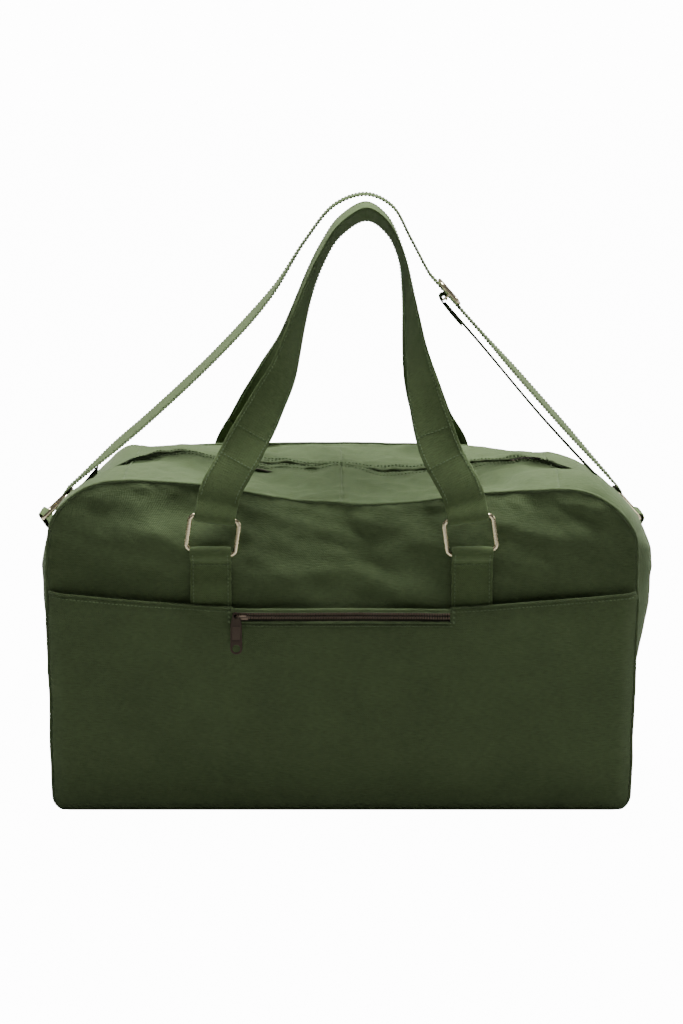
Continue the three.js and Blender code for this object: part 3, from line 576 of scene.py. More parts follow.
def seam_path(side):
    y = side * (SEAM + 0.0012)
    left, right = (gusset_row(sign, y)[:-3] for sign in (-1, 1))
    floor = np.array([[x, y, 0.0] for x in linspace(-floor_half, floor_half, 60)[1:-1]])
    top = np.array([[x, y, HEIGHT] for x in linspace(0.19, -0.19, 90)])
    return np.vstack([floor, right, top, left[::-1]])


for side, word in DEPTHS:
    path = soft_shape(seam_path(side))
    path[:, 2] = np.maximum(path[:, 2], 0.0017)
    tube(f"{word}_seam_roll", path, 0.0017, 8, "canvas", ROOT, closed=True)
    within = [p for p in seam_path(side) if p[2] < HEIGHT - 0.002]
    inside = np.array([
        [(p[0] * 0.988, side * (SEAM - 0.0015 - w), 0.008 + p[2] * 0.965) for p in within] for w in (0.0, 0.005, 0.010)
    ])
    order = int(np.argmax(np.linalg.norm(np.diff(inside[0], axis=0), axis=1))) + 1
    inside = soft_shape(np.roll(inside, -order, axis=1))
    cloth_piece(f"{word}_seam_tape", inside, 0.0008, "lining", ROOT, [f"seam_binding_{word}"])

# %% [markdown]
# ## The top and its zip
# The top is two strips, sewn to the panels outside and to the zip inside. Each strip folds under at the zip and
# makes a lip that half hides the teeth. When the bag opens the lips part in the middle and stay together at the
# ends, so each strip is made in a left and a right half, which meet in the middle.

# %% Top halves
LIP = 0.0034
top_y = np.concatenate([linspace(SEAM, 0.02, 26), linspace(0.017, LIP, 8)])


def top_point(x, y, side):
    rise = 0.0016 * math.exp(-(((y - 0.007) / 0.006) ** 2))
    return (x, side * y, HEIGHT + rise)


def top_half(side, end, stretch):
    grid = soft_shape(np.array([[top_point(end * x, y, side) for x in stretch] for y in top_y]))
    under = [grid[-1] + (0, side * y, z) for y, z in ((-0.0004, -0.0012), (0.0012, -0.0026), (0.008, -0.0030))]
    return np.concatenate([grid, np.array(under)])


def open_with_flap(piece):
    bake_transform(piece)


stretch = linspace(0, TOP_END, 66)
for side, word in DEPTHS:
    for end, hand in HANDS:
        half = top_half(side, end, stretch)
        name = f"top_{word}_{hand}"
        piece = cloth_piece(name, half, 0.0012, "canvas", None, [f"top_flap_{word}"], outward=(0, 0, 1))
        open_with_flap(piece)
print("top made in four pieces")

# %% [markdown]
# ## Zip teeth and stitches by Geometry Nodes
# Teeth and stitches repeat along a path, so one tree sets a small shape on evenly spaced points of a curve. Its
# inputs are the spacing and the shape's length, width and height. The result is made real and kept as a mesh.


# %% The tree that repeats a small piece along a path
def build_repeat(name, shape_node, **settings):
    tree = bpy.data.node_groups.new(name, "GeometryNodeTree")
    tree.interface.new_socket("Path", in_out="INPUT", socket_type="NodeSocketGeometry")
    for label in ("Spacing", "Length", "Width", "Height"):
        tree.interface.new_socket(label, in_out="INPUT", socket_type="NodeSocketFloat")
    tree.interface.new_socket("Finish", in_out="INPUT", socket_type="NodeSocketMaterial")
    tree.interface.new_socket("Result", in_out="OUTPUT", socket_type="NodeSocketGeometry")
    given, result = add(tree, "NodeGroupInput"), add(tree, "NodeGroupOutput")
    spots = add(tree, "GeometryNodeCurveToPoints")
    spots.mode = "LENGTH"
    shape = add(tree, shape_node, **settings)
    size = add(tree, "ShaderNodeCombineXYZ")
    fit = add(tree, "GeometryNodeTransform")
    place = add(tree, "GeometryNodeInstanceOnPoints")
    real = add(tree, "GeometryNodeRealizeInstances")
    paint = add(tree, "GeometryNodeSetMaterial")
    for axis, label in enumerate(("Length", "Width", "Height")):
        tree.links.new(given.outputs[label], size.inputs[axis])
    for source, socket in (
        (given.outputs["Path"], spots.inputs["Curve"]),
        (given.outputs["Spacing"], spots.inputs["Length"]),
        (shape.outputs["Mesh"], fit.inputs["Geometry"]),
        (size.outputs[0], fit.inputs["Scale"]),
        (spots.outputs["Points"], place.inputs["Points"]),
        (fit.outputs[0], place.inputs["Instance"]),
        (spots.outputs["Rotation"], place.inputs["Rotation"]),
        (place.outputs[0], real.inputs[0]),
        (real.outputs[0], paint.inputs["Geometry"]),
        (given.outputs["Finish"], paint.inputs["Material"]),
        (paint.outputs[0], result.inputs["Result"]),
    ):
        tree.links.new(source, socket)
    return tree


stitch_tree = build_repeat("stitch_line", "GeometryNodeMeshUVSphere", Segments=6, Rings=4, Radius=0.5)
tooth_tree = build_repeat("tooth_row", "GeometryNodeMeshCube")


def poly_curve(name, lines, dimensions):
    """An object whose curve has one straight-sided line for each list of points."""
    curve = bpy.data.curves.new(name, "CURVE")
    curve.dimensions = dimensions
    for line in lines:
        spline = curve.splines.new("POLY")
        spline.points.add(len(line) - 1)
        for point, spot in zip(spline.points, line):
            point.co = (*spot, *(0,) * (3 - len(spot)), 1)
    return place_object(name, curve)


def made_real(source):
    """The mesh that an object's modifiers or bevels make; the object itself goes."""
    bpy.context.view_layer.update()
    mesh = bpy.data.meshes.new_from_object(source.evaluated_get(bpy.context.evaluated_depsgraph_get()))
    bpy.data.objects.remove(source)
    return mesh


def along_paths(name, tree, paths, sizes, finish, body):
    """sizes are spacing and the piece's size along Z (the path), X and Y of the point's own frame."""
    source = poly_curve(name + "_path", paths, "3D")
    source.data.twist_mode = "Z_UP"
    modifier = source.modifiers.new("repeat", "NODES")
    modifier.node_group = tree
    identifier = {item.name: item.identifier for item in tree.interface.items_tree if item.in_out == "INPUT"}
    for label, value in zip(("Spacing", "Height", "Length", "Width"), sizes):
        modifier[identifier[label]] = value
    modifier[identifier["Finish"]] = FINISH[finish]
    mesh = made_real(source)
    mesh.name = name
    return finish_piece(place_object(name, mesh), finish, body)


STITCH = (0.0034, 0.0026, 0.0011, 0.0011)
MAIN_TOOTH = (0.0023, 0.0012, 0.0024, 0.0022)
POCKET_TOOTH = (0.0023, 0.0012, 0.0023, 0.0021)
print("repeat trees", stitch_tree.name, tooth_tree.name)

# %% [markdown]
# ## Top stitching, tape and teeth of the main zip
# Each half of the top carries two rows of stitches beside the lip, the dark tape beneath and a row of teeth.

# %% Main zip
row_low, row_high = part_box("main_zip_teeth_back")
tooth_y = (row_low[1] + row_high[1]) / 2
xs = linspace(0.0005, TOP_END - 0.002, 60)
for side, word in DEPTHS:
    for end, hand in HANDS:
        flat_rows = [np.array([top_point(end * x, y, side) for x in xs]) for y in (0.0075, 0.0125)]
        rows = [soft_shape(row) + (0, 0, 0.0004) for row in flat_rows]
        open_with_flap(along_paths(f"top_stitches_{word}_{hand}", stitch_tree, rows, STITCH, "thread", None))
        sag_line = soft_shape(np.array([(end * x, 0.0, HEIGHT) for x in xs]), 0.6)[:, 2]
        run = list(zip(end * xs, sag_line))
        grid = np.array([[(x, side * y, h - 0.0042) for x, h in run] for y in (0.0024, 0.006, 0.012, 0.019)])
        name = f"zip_tape_{word}_{hand}"
        tape = cloth_piece(name, grid, 0.0006, "tape", None, [f"main_zip_tape_{word}"], outward=(0, 0, 1))
        open_with_flap(tape)
        tooth_path = np.array([(x, side * tooth_y, h - 0.0034) for x, h in run])
        teeth = along_paths(f"zip_teeth_{word}_{hand}", tooth_tree, [tooth_path], MAIN_TOOTH, "bronze", None)
        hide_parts(f"main_zip_teeth_{word}", "main_zip_end_left", "main_zip_end_right")
        open_with_flap(teeth)
for end, hand in HANDS:
    patch_y = linspace(-0.013, 0.013, 12)
    patch = soft_shape(np.array([[(end * x, y, HEIGHT + 0.0018) for y in patch_y] for x in linspace(0.195, 0.217, 10)]))
    for i in range(len(patch)):
        patch[i, :, 2] -= 0.21 * max(0.0, 0.0024 * i - 0.004)
    name = f"zip_end_patch_{hand}"
    cloth_piece(name, patch, 0.0012, "canvas", ROOT, [f"main_zip_end_tab_{hand}"], outward=(0, 0, 1))
print("main zip made")

# %% [markdown]
# ## The front pocket
# One flat piece of canvas covers the lower front. It is sewn into the side and floor seams, and its top edge is
# turned down and stitched. In the middle the edge is cut lower, and a zip closes the gap to a narrow lip above.

# %% Pocket canvas
POCKET_Y = -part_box("pocket_panel")[0][1]
POCKET_ZIP_Z = 0.184
ZIP_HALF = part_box("pocket_zip_tape_lower")[1][0]
NOTCH_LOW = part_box("pocket_zip_tape_lower")[1][2] - 0.0022
POCKET_REACH = 0.2635


def hem_height(x):
    return 0.190 + 0.015 * (x / HALF_WIDTH) ** 2


def pocket_depth(x, z):
    near = min(POCKET_REACH + 0.001 - abs(x), z - 0.001) / 0.016
    share = math.sin(math.pi / 2 * min(1.0, max(0.0, near)))
    return FRONT + 0.0012 + (POCKET_Y - FRONT - 0.0012) * share


def pocket_edge(z):
    return half_width_at(z, edge=POCKET_REACH)


inner_x = linspace(-ZIP_HALF, ZIP_HALF, 61)
outer_x = ZIP_HALF + (POCKET_REACH - ZIP_HALF) * np.sin(linspace(0, np.pi / 2, 30))[1:]
pocket_x = np.concatenate([-outer_x[::-1], inner_x, outer_x])
low_rows = 0.001 + (NOTCH_LOW - 0.001) * (1 - np.cos(linspace(0, np.pi / 2, 40)))
pocket_rows = []
for z in low_rows:
    squeeze = pocket_edge(z) / POCKET_REACH
    pocket_rows.append([(x * squeeze, -pocket_depth(x * squeeze, z), z) for x in pocket_x])
for share in linspace(0, 1, 7)[1:]:
    heights = [NOTCH_LOW + (hem_height(x) - NOTCH_LOW) * share for x in pocket_x]
    pocket_rows.append([(x, -pocket_depth(x, z), z) for x, z in zip(pocket_x, heights)])
pocket_grid = soft_shape(np.array(pocket_rows))
kept = np.ones((len(pocket_rows) - 1, len(pocket_x) - 1), bool)
middle_x = (pocket_x[1:] + pocket_x[:-1]) / 2
kept[len(low_rows) - 1 :, np.abs(middle_x) < ZIP_HALF] = False
cloth_piece(
    "pocket_canvas", pocket_grid, SKIN, "canvas", ROOT,
    ["pocket_panel", "pocket_side_seam_left", "pocket_side_seam_right", "pocket_bottom_seam"],
    keep=kept, outward=(0, -1, 0),
)


def on_pocket(x, z, lift=0.0):
    return (x, -pocket_depth(x, z) - lift, z)


def soft_line(points):
    return soft_shape(np.array([points]))[0]


# %% Hem roll, lips and stitches of the pocket
for side, hand in HANDS:
    run = linspace(ZIP_HALF, POCKET_REACH - 0.0005, 50)
    hem = soft_line([on_pocket(side * x, hem_height(x) - 0.0008, -0.0005) for x in run])
    tube(f"pocket_hem_{hand}", hem, 0.0011, 8, "canvas", ROOT)
    down = soft_line([on_pocket(side * ZIP_HALF, z, -0.0005) for z in linspace(NOTCH_LOW, hem_height(ZIP_HALF), 8)])
    tube(f"pocket_notch_{hand}", down, 0.0009, 8, "canvas", ROOT)
lower = soft_line([on_pocket(x, NOTCH_LOW - 0.0004, -0.0004) for x in linspace(-ZIP_HALF, ZIP_HALF, 60)])
tube("pocket_lower_lip", lower, 0.0011, 8, "canvas", ROOT)
lip_z = (0.1868, 0.1878, 0.1890, 0.1902, 0.1908)
lip_out = (0.0, 0.0007, 0.0009, 0.0006, -0.0002)
lip = np.array([[(x, -POCKET_Y - o, z) for x in linspace(-ZIP_HALF, ZIP_HALF, 61)] for z, o in zip(lip_z, lip_out)])
cloth_piece("pocket_upper_lip", soft_shape(lip), 0.0016, "canvas", ROOT, ["pocket_zip_facing"], outward=(0, -1, 0))
hem_rows = []
for side in (-1, 1):
    run = linspace(ZIP_HALF + 0.003, POCKET_REACH - 0.004, 60)
    hem_rows.append(soft_line([on_pocket(side * x, hem_height(x) - 0.0045, 0.0002) for x in run]))
    for beyond in linspace(0.0018, 0.0030, 4):
        bar_z = linspace(NOTCH_LOW, NOTCH_LOW + 0.009, 4)
        hem_rows.append(soft_line([on_pocket(side * (ZIP_HALF + beyond), z, 0.0003) for z in bar_z]))
hem_rows.append(soft_line([on_pocket(x, NOTCH_LOW - 0.0038, 0.0002) for x in linspace(-ZIP_HALF, ZIP_HALF, 80)]))
along_paths("pocket_stitches", stitch_tree, hem_rows, STITCH, "thread", ROOT)

# %% Pocket zip: tape and teeth
tape_z = linspace(NOTCH_LOW - 0.004, 0.1885, 7)
tape_grid = np.array([[(x, -POCKET_Y + 0.0022, z) for x in linspace(-ZIP_HALF, ZIP_HALF, 61)] for z in tape_z])
cloth_piece("pocket_zip_tape", soft_shape(tape_grid), 0.0007, "tape", ROOT,
            ["pocket_zip_tape_lower", "pocket_zip_tape_upper"], outward=(0, -1, 0))
for word in ("lower", "upper"):
    low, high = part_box(f"pocket_zip_teeth_{word}")
    z = (low[2] + high[2]) / 2
    line = soft_line([(x, (low[1] + high[1]) / 2 + 0.0002, z) for x in linspace(low[0], high[0], 80)])
    teeth = along_paths(f"pocket_teeth_{word}", tooth_tree, [line], POCKET_TOOTH, "bronze", ROOT)
    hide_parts(f"pocket_zip_teeth_{word}")
print("pocket made")

# %% [markdown]
# ## Sliders and pullers
# Cast metal parts have no sharp edges, so each block is bevelled before it is used. A puller is a flat outline
# with holes, which a filled 2-D curve makes with its bevel in one step.


# %% Bevelled blocks and plates
def block(low, high, bevel=0.0004, turn=None):
    """A bevelled box as points and faces; turn maps the points."""
    shape = bmesh.new()
    bmesh.ops.create_cube(shape, size=1)
    low, high = Vector(low), Vector(high)
    for vertex in shape.verts:
        vertex.co = Vector((vertex.co[i] * (high[i] - low[i]) + (high[i] + low[i]) / 2 for i in range(3)))
    bmesh.ops.bevel(shape, geom=shape.edges[:], offset=bevel, segments=3, profile=0.5, affect="EDGES")
    points = [tuple(turn(v.co) if turn else v.co) for v in shape.verts]
    faces = [tuple(v.index for v in f.verts) for f in shape.faces]
    shape.free()
    return points, faces


def gather(name, parts, finish, body, replaced=()):
    points, faces = [], []
    for part_points, part_faces in parts:
        base = len(points)
        points += [tuple(p) for p in part_points]
        faces += [tuple(i + base for i in face) for face in part_faces]
    obj = link_mesh(name, points, faces)
    shape = bmesh.new()
    shape.from_mesh(obj.data)
    bmesh.ops.recalc_face_normals(shape, faces=shape.faces)
    shape.to_mesh(obj.data)
    shape.free()
    obj.data.shade_smooth()
    return finish_piece(obj, finish, body, replaced)


def outline_plate(loops, thickness, place, bevel=0.0003):
    """Closed outlines in a plane, the first the edge and the rest holes, as points and faces."""
    flat = poly_curve("outline", loops, "2D")
    curve = flat.data
    curve.fill_mode = "BOTH"
    curve.extrude = thickness / 2 - bevel
    curve.bevel_depth = bevel
    curve.bevel_resolution = 2
    curve.offset = -bevel
    for spline in curve.splines:
        spline.use_cyclic_u = True
    mesh = made_real(flat)
    return [tuple(place(v.co)) for v in mesh.vertices], [tuple(p.vertices) for p in mesh.polygons]


def circle(cx, cy, radius, count=28, start=0.0, end=2 * math.pi):
    turn = linspace(start, end, count, endpoint=abs(end - start) < 6.28)
    return [(cx + radius * math.cos(t), cy + radius * math.sin(t)) for t in turn]


# %% Sliders
BAIL_WIRE = 0.0009


def slider_parts(turn, bail):
    low, high = 0.0015, 0.0028
    body = []
    for a, b in ((low, high), (-high, -low)):
        body.append(block((-0.006, -0.0045, a), (0.003, 0.0045, b), 0.0005, turn))
        body.append(block((0.001, -0.0036, a), (0.0062, 0.0036, b), 0.0006, turn))
    body.append(block((-0.002, -0.0004, -low - 0.0003), (0.002, 0.0004, low + 0.0003), 0.0001, turn))
    return body + bail(high, turn)


def arch_bail(face, turn):
    path = [(-0.005, 0, -0.0003), (-0.005, 0, 0.0028), (-0.0042, 0, 0.0038), (-0.003, 0, 0.0042), (0.002, 0, 0.0042),
            (0.004, 0, 0.0036), (0.0052, 0, 0.002), (0.0054, 0, -0.0003)]
    return [wire([turn(Vector((x, y, face + z))) for x, y, z in path], BAIL_WIRE, 10)]


def upright_bail(face, turn):
    parts = [block((-0.0012, s * 0.0034 - (s < 0) * 0.001, face - 0.0004),
                   (0.0012, s * 0.0034 + (s > 0) * 0.001, face + 0.0042), 0.0004, turn) for s in (-1, 1)]
    parts.append(wire([turn(Vector((0, y, face + 0.0033))) for y in (-0.004, 0, 0.004)], BAIL_WIRE, 10))
    return parts


pocket_slider_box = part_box("pocket_zip_slider")
slider_x = (pocket_slider_box[0][0] + pocket_slider_box[1][0]) / 2
pocket_at = Vector((slider_x, pocket_slider_box[1][1] - 0.0028, POCKET_ZIP_Z))
main_slider_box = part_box("main_zip_slider")
main_at = Vector(((main_slider_box[0][0] + main_slider_box[1][0]) / 2, 0, main_slider_box[0][2] + 0.0028))


def pocket_turn(p):
    return pocket_at + Vector((-p[0], -p[2], p[1]))


def main_turn(p):
    return main_at + Vector((p[0], p[1], p[2]))


gather("pocket_slider_metal", slider_parts(pocket_turn, arch_bail), "bronze", "pocket_slider", ["pocket_zip_slider"])
gather("main_slider_metal", slider_parts(main_turn, upright_bail), "bronze", "main_slider", ["main_zip_slider"])


# %% Pullers: a rim round a sunk middle, an eye at one end and a thumb hole at the other
def puller_outline(length, half, eye):
    tail = circle(0, -length + half, half - 0.0002, 18, math.pi, 2 * math.pi)
    head = circle(0, 0, eye, 14, 0, math.pi)
    return [(-eye, -0.0005), (-half + 0.0006, -0.0075)] + tail + [(half - 0.0006, -0.0075), (eye, -0.0005)] + head[1:-1]


def puller_plates(length, half, eye, hole, thumb, gap, thickness, place):
    """The rim of a puller with its window, and the thin plate that fills the window."""
    rim = [puller_outline(length, half, eye), circle(0, 0, hole, 18), gap, circle(0, half - length, thumb)]
    sunk = [[(u * 1.12, v) for u, v in gap]]
    return [outline_plate(rim, thickness, place), outline_plate(sunk, 0.0008, place, 0.0001)]


def pocket_puller_place(p):
    return (puller_box[0][0] + 0.0057 + p[0], puller_y - p[2], POCKET_ZIP_Z + p[1])


def main_puller_place(p):
    rise = 0.0016 * min(1.0, max(0.0, -p[1] / 0.006))
    return (main_at[0] - p[1], p[0], main_slider_box[1][2] - 0.001 + rise + p[2])


puller_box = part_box("pocket_zip_puller")
puller_y = (puller_box[0][1] + puller_box[1][1]) / 2
PULL = 0.0355
MAIN_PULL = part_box("main_zip_puller")[1][0] - main_at[0]
window = [(-0.0030, -0.0100), (0.0030, -0.0100), (0.0036, -0.0118), (0.0036, -0.0222), (-0.0036, -0.0222),
          (-0.0036, -0.0118)]
main_window = [(u, v * 0.72 + 0.0006) for u, v in window]
plates = puller_plates(PULL, 0.0056, 0.0033, 0.0019, 0.0036, window, 0.0016, pocket_puller_place)
gather("pocket_puller_metal", plates, "bronze", "pocket_puller", ["pocket_zip_puller"])
plates = puller_plates(MAIN_PULL, 0.0054, 0.0031, 0.0017, 0.0032, main_window, 0.0015, main_puller_place)
gather("main_puller_metal", plates, "bronze", "main_puller", ["main_zip_puller"])
for hand in ("left", "right"):
    low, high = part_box(f"pocket_zip_stop_{hand}")
    gather(f"pocket_stop_{hand}", [block(low, high, 0.0003)], "bronze", ROOT, [f"pocket_zip_stop_{hand}"])
print("zip metal made")

# %% [markdown]
# ## Webbing
# Handles, tabs and strap are bands of folded canvas. Each is drawn along a line, with a direction across it,
# and its section is a flat pillow: full in the middle, thin and rounded at the sewn edges.


# %% Smooth line through points and a band along it
def smooth_line(points, count):
    """Centripetal Catmull-Rom through the points, evenly spaced."""
    p = np.asarray(points, float)
    p = np.vstack([2 * p[0] - p[1], p, 2 * p[-1] - p[-2]])
    dense = []
    for a, b, c, d in zip(p, p[1:], p[2:], p[3:]):
        t0, t1, t2 = (max(np.linalg.norm(v - u) ** 0.5, 1e-6) for u, v in ((a, b), (b, c), (c, d)))
        m1 = ((b - a) / t0 - (c - a) / (t0 + t1) + (c - b) / t1) * t1
        m2 = ((c - b) / t1 - (d - b) / (t1 + t2) + (d - c) / t2) * t1
        s = linspace(0, 1, 40, endpoint=False)[:, None]
        dense.append(b + m1 * s + (-3 * b + 3 * c - 2 * m1 - m2) * s**2 + (2 * b - 2 * c + m1 + m2) * s**3)
    dense = np.vstack(dense + [p[-2:-1]])
    run = run_along(dense)
    even = linspace(0, run[-1], count)
    return np.stack([np.interp(even, run, dense[:, k]) for k in range(3)], axis=1), even


def band_frames(path, across):
    along = unit(np.gradient(path, axis=0))
    face = unit(np.cross(along, np.broadcast_to(across, path.shape)))
    return np.cross(face, along), face


HALF_SECTION = 13


def band(name, path, across, width, thickness, finish, body, replaced=(), wave=0.0):
    path = np.asarray(path, float)
    across, face = band_frames(path, across)
    u = -np.cos(linspace(0, np.pi, HALF_SECTION))
    full = thickness / 2 * (1 - 0.55 * np.abs(u) ** 5) * np.sqrt(np.clip(1 - np.abs(u) ** 24, 0, 1))
    section = [*zip(u, full), *zip(u[-2:0:-1], -full[-2:0:-1])]
    run = run_along(path)
    rings = []
    for k, spot in enumerate(path):
        ripple = wave * noise.noise(Vector((run[k] * 40, 3.3, 1.7)))
        rings.append([spot + across[k] * (a * width / 2 + ripple) + face[k] * b for a, b in section])
    uvs = [(a * width / 2 + (0.1 if b < 0 else 0.0), reach) for reach in run for a, b in section]
    return finish_piece(link_mesh(name, *sleeve(rings), uvs), finish, body, replaced)


def beside(path, across, shift, lift):
    """The line at a distance across a band and above its face."""
    across, face = band_frames(np.asarray(path, float), across)
    return path + across * shift + face * lift


# %% [markdown]
# ## Carrying handles
# A handle leaves a ring flat against the bag, leans inward, and turns a quarter so that its top is a band that
# the hand holds edge on. At each ring the webbing goes round the bar and back up inside, where it is stitched.

# %% Handle line
HANDLE_WIDTH, HANDLE_THICK = 0.037, 0.0021
TILT = math.radians(8)
TAB_X, BAR_Z, RING_RISE = 0.117, 0.242, 0.0312
TAB_Y = -(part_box("handle_ring_front_left")[0][1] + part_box("handle_ring_front_left")[1][1]) / 2
TOP_BAR_X, TOP_BAR_Z = TAB_X - RING_RISE * math.sin(TILT), BAR_Z + RING_RISE * math.cos(TILT)
SHOULDER_Z, TWIST_Z, APEX_Z, APEX_Y = 0.304, 0.325, 0.536, 0.0385
STITCH_OUT = 0.0155  # a stitch line runs this far from the middle of a handle or a tab
SHOULDER_Y = TAB_Y - 0.0015
HANDLE_ROUTE = [(-107.5, 297), (-88, 332), (-66.5, 371), (-51.5, 401), (-38.5, 443), (-29, 472), (-17.5, 498),
                (-2, 521.5), (23.2, 536), (42, 524), (55, 497), (62, 458), (67.5, 415), (76, 371), (89.5, 329),
                (107, 297)]


def handle_out(z):
    if z <= SHOULDER_Z:
        return TAB_Y + (SHOULDER_Y - TAB_Y) * (z - TOP_BAR_Z) / (SHOULDER_Z - TOP_BAR_Z)
    return SHOULDER_Y + (APEX_Y - SHOULDER_Y) * (z - SHOULDER_Z) / (APEX_Z - SHOULDER_Z)


def handle_line(side):
    start = 0.0063
    ends = [(e * (TOP_BAR_X - start * math.sin(TILT)), TOP_BAR_Z + start * math.cos(TILT)) for e in (-1, 1)]
    flat = [ends[0], *[(x / 1000, z / 1000) for x, z in HANDLE_ROUTE], ends[1]]
    path, _ = smooth_line([(x, side * handle_out(z), z) for x, z in flat], 150)
    lean = math.atan2(SHOULDER_Y - APEX_Y, APEX_Z - SHOULDER_Z)
    across = []
    for spot, way in zip(path, unit(np.gradient(path, axis=0))):
        upright = smooth_step((spot[2] - TOP_BAR_Z) / (SHOULDER_Z + 0.020 - TOP_BAR_Z)) * lean
        out = np.array([0, side * math.cos(upright), math.sin(upright)])
        out = unit(out - way * np.dot(out, way))
        inside = np.cross(way, out) * side
        high = np.clip((spot[2] - TWIST_Z) / (APEX_Z - TWIST_Z), 0, 1)
        twist = (1 - (1 - high) ** 2) * math.pi / 2
        across.append(inside * math.cos(twist) + out * math.sin(twist))
    return path, np.array(across)


# %% Handles with their folds round the rings
def fold(bar, up, side, inner):
    """From the inner end of the webbing down round the bar and up to where the handle begins."""
    out = np.array([0, side, 0.0])
    turn = [(0.0042 * math.sin(a), -0.0042 * math.cos(a)) for a in linspace(-0.2, -math.pi + 0.2, 9)]
    shape = [(0.005, -0.0040), *turn, (0.0045, 0.0032)]
    return np.array([*(spot - out * 0.0024 for spot in inner), *(bar + up * v + out * w for v, w in shape)])


for side, word in DEPTHS:
    path, across = handle_line(side)
    body = f"carry_handle_{word}"
    pieces, directions = [], []
    for end in (-1, 1):
        bar = np.array([end * TOP_BAR_X, side * TAB_Y, TOP_BAR_Z])
        up = np.array([-end * math.sin(TILT), 0, math.cos(TILT)])
        wide = np.array([math.cos(TILT), 0, end * math.sin(TILT)])
        order = slice(None) if end < 0 else slice(None, None, -1)
        inner, inner_ways = path[order][2:11:2][::-1], across[order][2:11:2][::-1]
        pieces.append(fold(bar, up, side, inner))
        wide = wide * np.sign(np.dot(inner_ways[-1], wide))
        directions.append(np.vstack([inner_ways, np.tile(wide, (len(pieces[-1]) - len(inner), 1))]))
    whole = np.vstack([pieces[0], path[2:-2], pieces[1][::-1]])
    ways = np.vstack([directions[0], across[2:-2], directions[1][::-1]])
    dense, spot = smooth_line(whole, 300)
    run = run_along(whole)
    ways = np.stack([np.interp(spot / spot[-1] * run[-1], run, ways[:, k]) for k in range(3)], axis=1)
    band(f"handle_{word}_webbing", dense, ways, HANDLE_WIDTH, HANDLE_THICK, "webbing", body, [f"handle_{word}"],
         wave=0.0005)
    faces = (-HANDLE_THICK / 2, HANDLE_THICK / 2)
    rows = [beside(path, across, shift, lift)[3:-3] for shift in (-STITCH_OUT, STITCH_OUT) for lift in faces]
    for index in (12, 19, -13, -20):
        spot, way = path[index], across[index]
        rows.append([spot + way * w + (0, side * 0.00115, 0) for w in linspace(-STITCH_OUT, STITCH_OUT, 5)])
    along_paths(f"handle_{word}_stitches", stitch_tree, rows, STITCH, "thread", body)
print("handles made")


# %% [markdown]
# ## Rings and tabs
# A ring is a wire bent to a rectangle with round corners. The tab below it is sewn to the panel, goes up through
# the ring and is folded down over itself.


# %% Rings
def ring_path(middle, along, up, width, height, corner=0.005):
    path = []
    for turn, (sx, sy) in enumerate(((1, 1), (-1, 1), (-1, -1), (1, -1))):
        for step in linspace(0, 1, 7):
            angle = (turn + step) * math.pi / 2
            u = sx * (width / 2 - corner) + corner * math.cos(angle)
            v = sy * (height / 2 - corner) + corner * math.sin(angle)
            path.append(middle + along * u + up * v)
    return np.array(path)


RING_WIDTH, WIRE = 0.0442, 0.0021
for side, word in DEPTHS:
    for end, hand in HANDS:
        up = np.array([-end * math.sin(TILT), 0, math.cos(TILT)])
        along = np.array([math.cos(TILT), 0, end * math.sin(TILT)])
        middle = np.array([end * TAB_X, side * TAB_Y, BAR_Z]) + up * RING_RISE / 2
        path = ring_path(middle, along, up, RING_WIDTH, RING_RISE)
        body = f"ring_{word}_{hand}"
        tube(f"{body}_wire", path, WIRE, 16, "gold", body, [f"handle_{body}"], closed=True)

# %% Tabs on the panels
TAB_TURN = 0.0043  # radius of the webbing round the ring's bar
for side, word in DEPTHS:
    for end, hand in HANDS:
        reach = TAB_Y - FRONT
        profile = [(0.0012, 0.152), (0.0012, 0.165), (0.0012, 0.180), (0.0012, 0.195), (0.0012, 0.210), (0.0013, 0.222),
                   (0.0018, 0.231), (reach - TAB_TURN, 0.2375)]
        profile += [(reach - TAB_TURN * math.cos(a), BAR_Z + TAB_TURN * math.sin(a)) for a in linspace(0, math.pi, 9)]
        profile += [(reach + 0.0036, 0.2375), (0.0062, 0.2335), (0.0042, 0.229), (0.0034, 0.222), (0.0033, 0.212),
                    (0.0033, 0.200), (0.0033, 0.186)]
        spots = []
        for out, z in profile:
            x, y = end * TAB_X, side * (FRONT + out)
            sewn = 1 - np.clip((z - 0.215) / 0.02, 0, 1)
            spots.append((x, y + (soft_line([(x, y, z)])[0][1] - y) * sewn, z))
        path, _ = smooth_line(spots, 90)
        name = f"tab_{word}_{hand}"
        band(name, path, (1.0, 0, 0), HANDLE_WIDTH, 0.0019, "webbing", ROOT, [f"handle_{name}"])
        front_run = path[58:]
        rows = [front_run + (shift, side * 0.0012, 0) for shift in (-STITCH_OUT, STITCH_OUT)]
        level = path[int(np.argmin(np.abs(path[50:, 2] - 0.230)) + 50)]
        rows.append(np.array([level + (w, side * 0.0012, 0) for w in linspace(-STITCH_OUT, STITCH_OUT, 6)]))
        along_paths(f"{name}_stitches", stitch_tree, rows, STITCH, "thread", ROOT)
print("rings and tabs made")

# %% [markdown]
# ## Shoulder strap
# The strap is one band from the left ring, up over both handles and down to the right ring, where it turns back
# to the adjuster. It lies in the middle plane with its width across the bag.

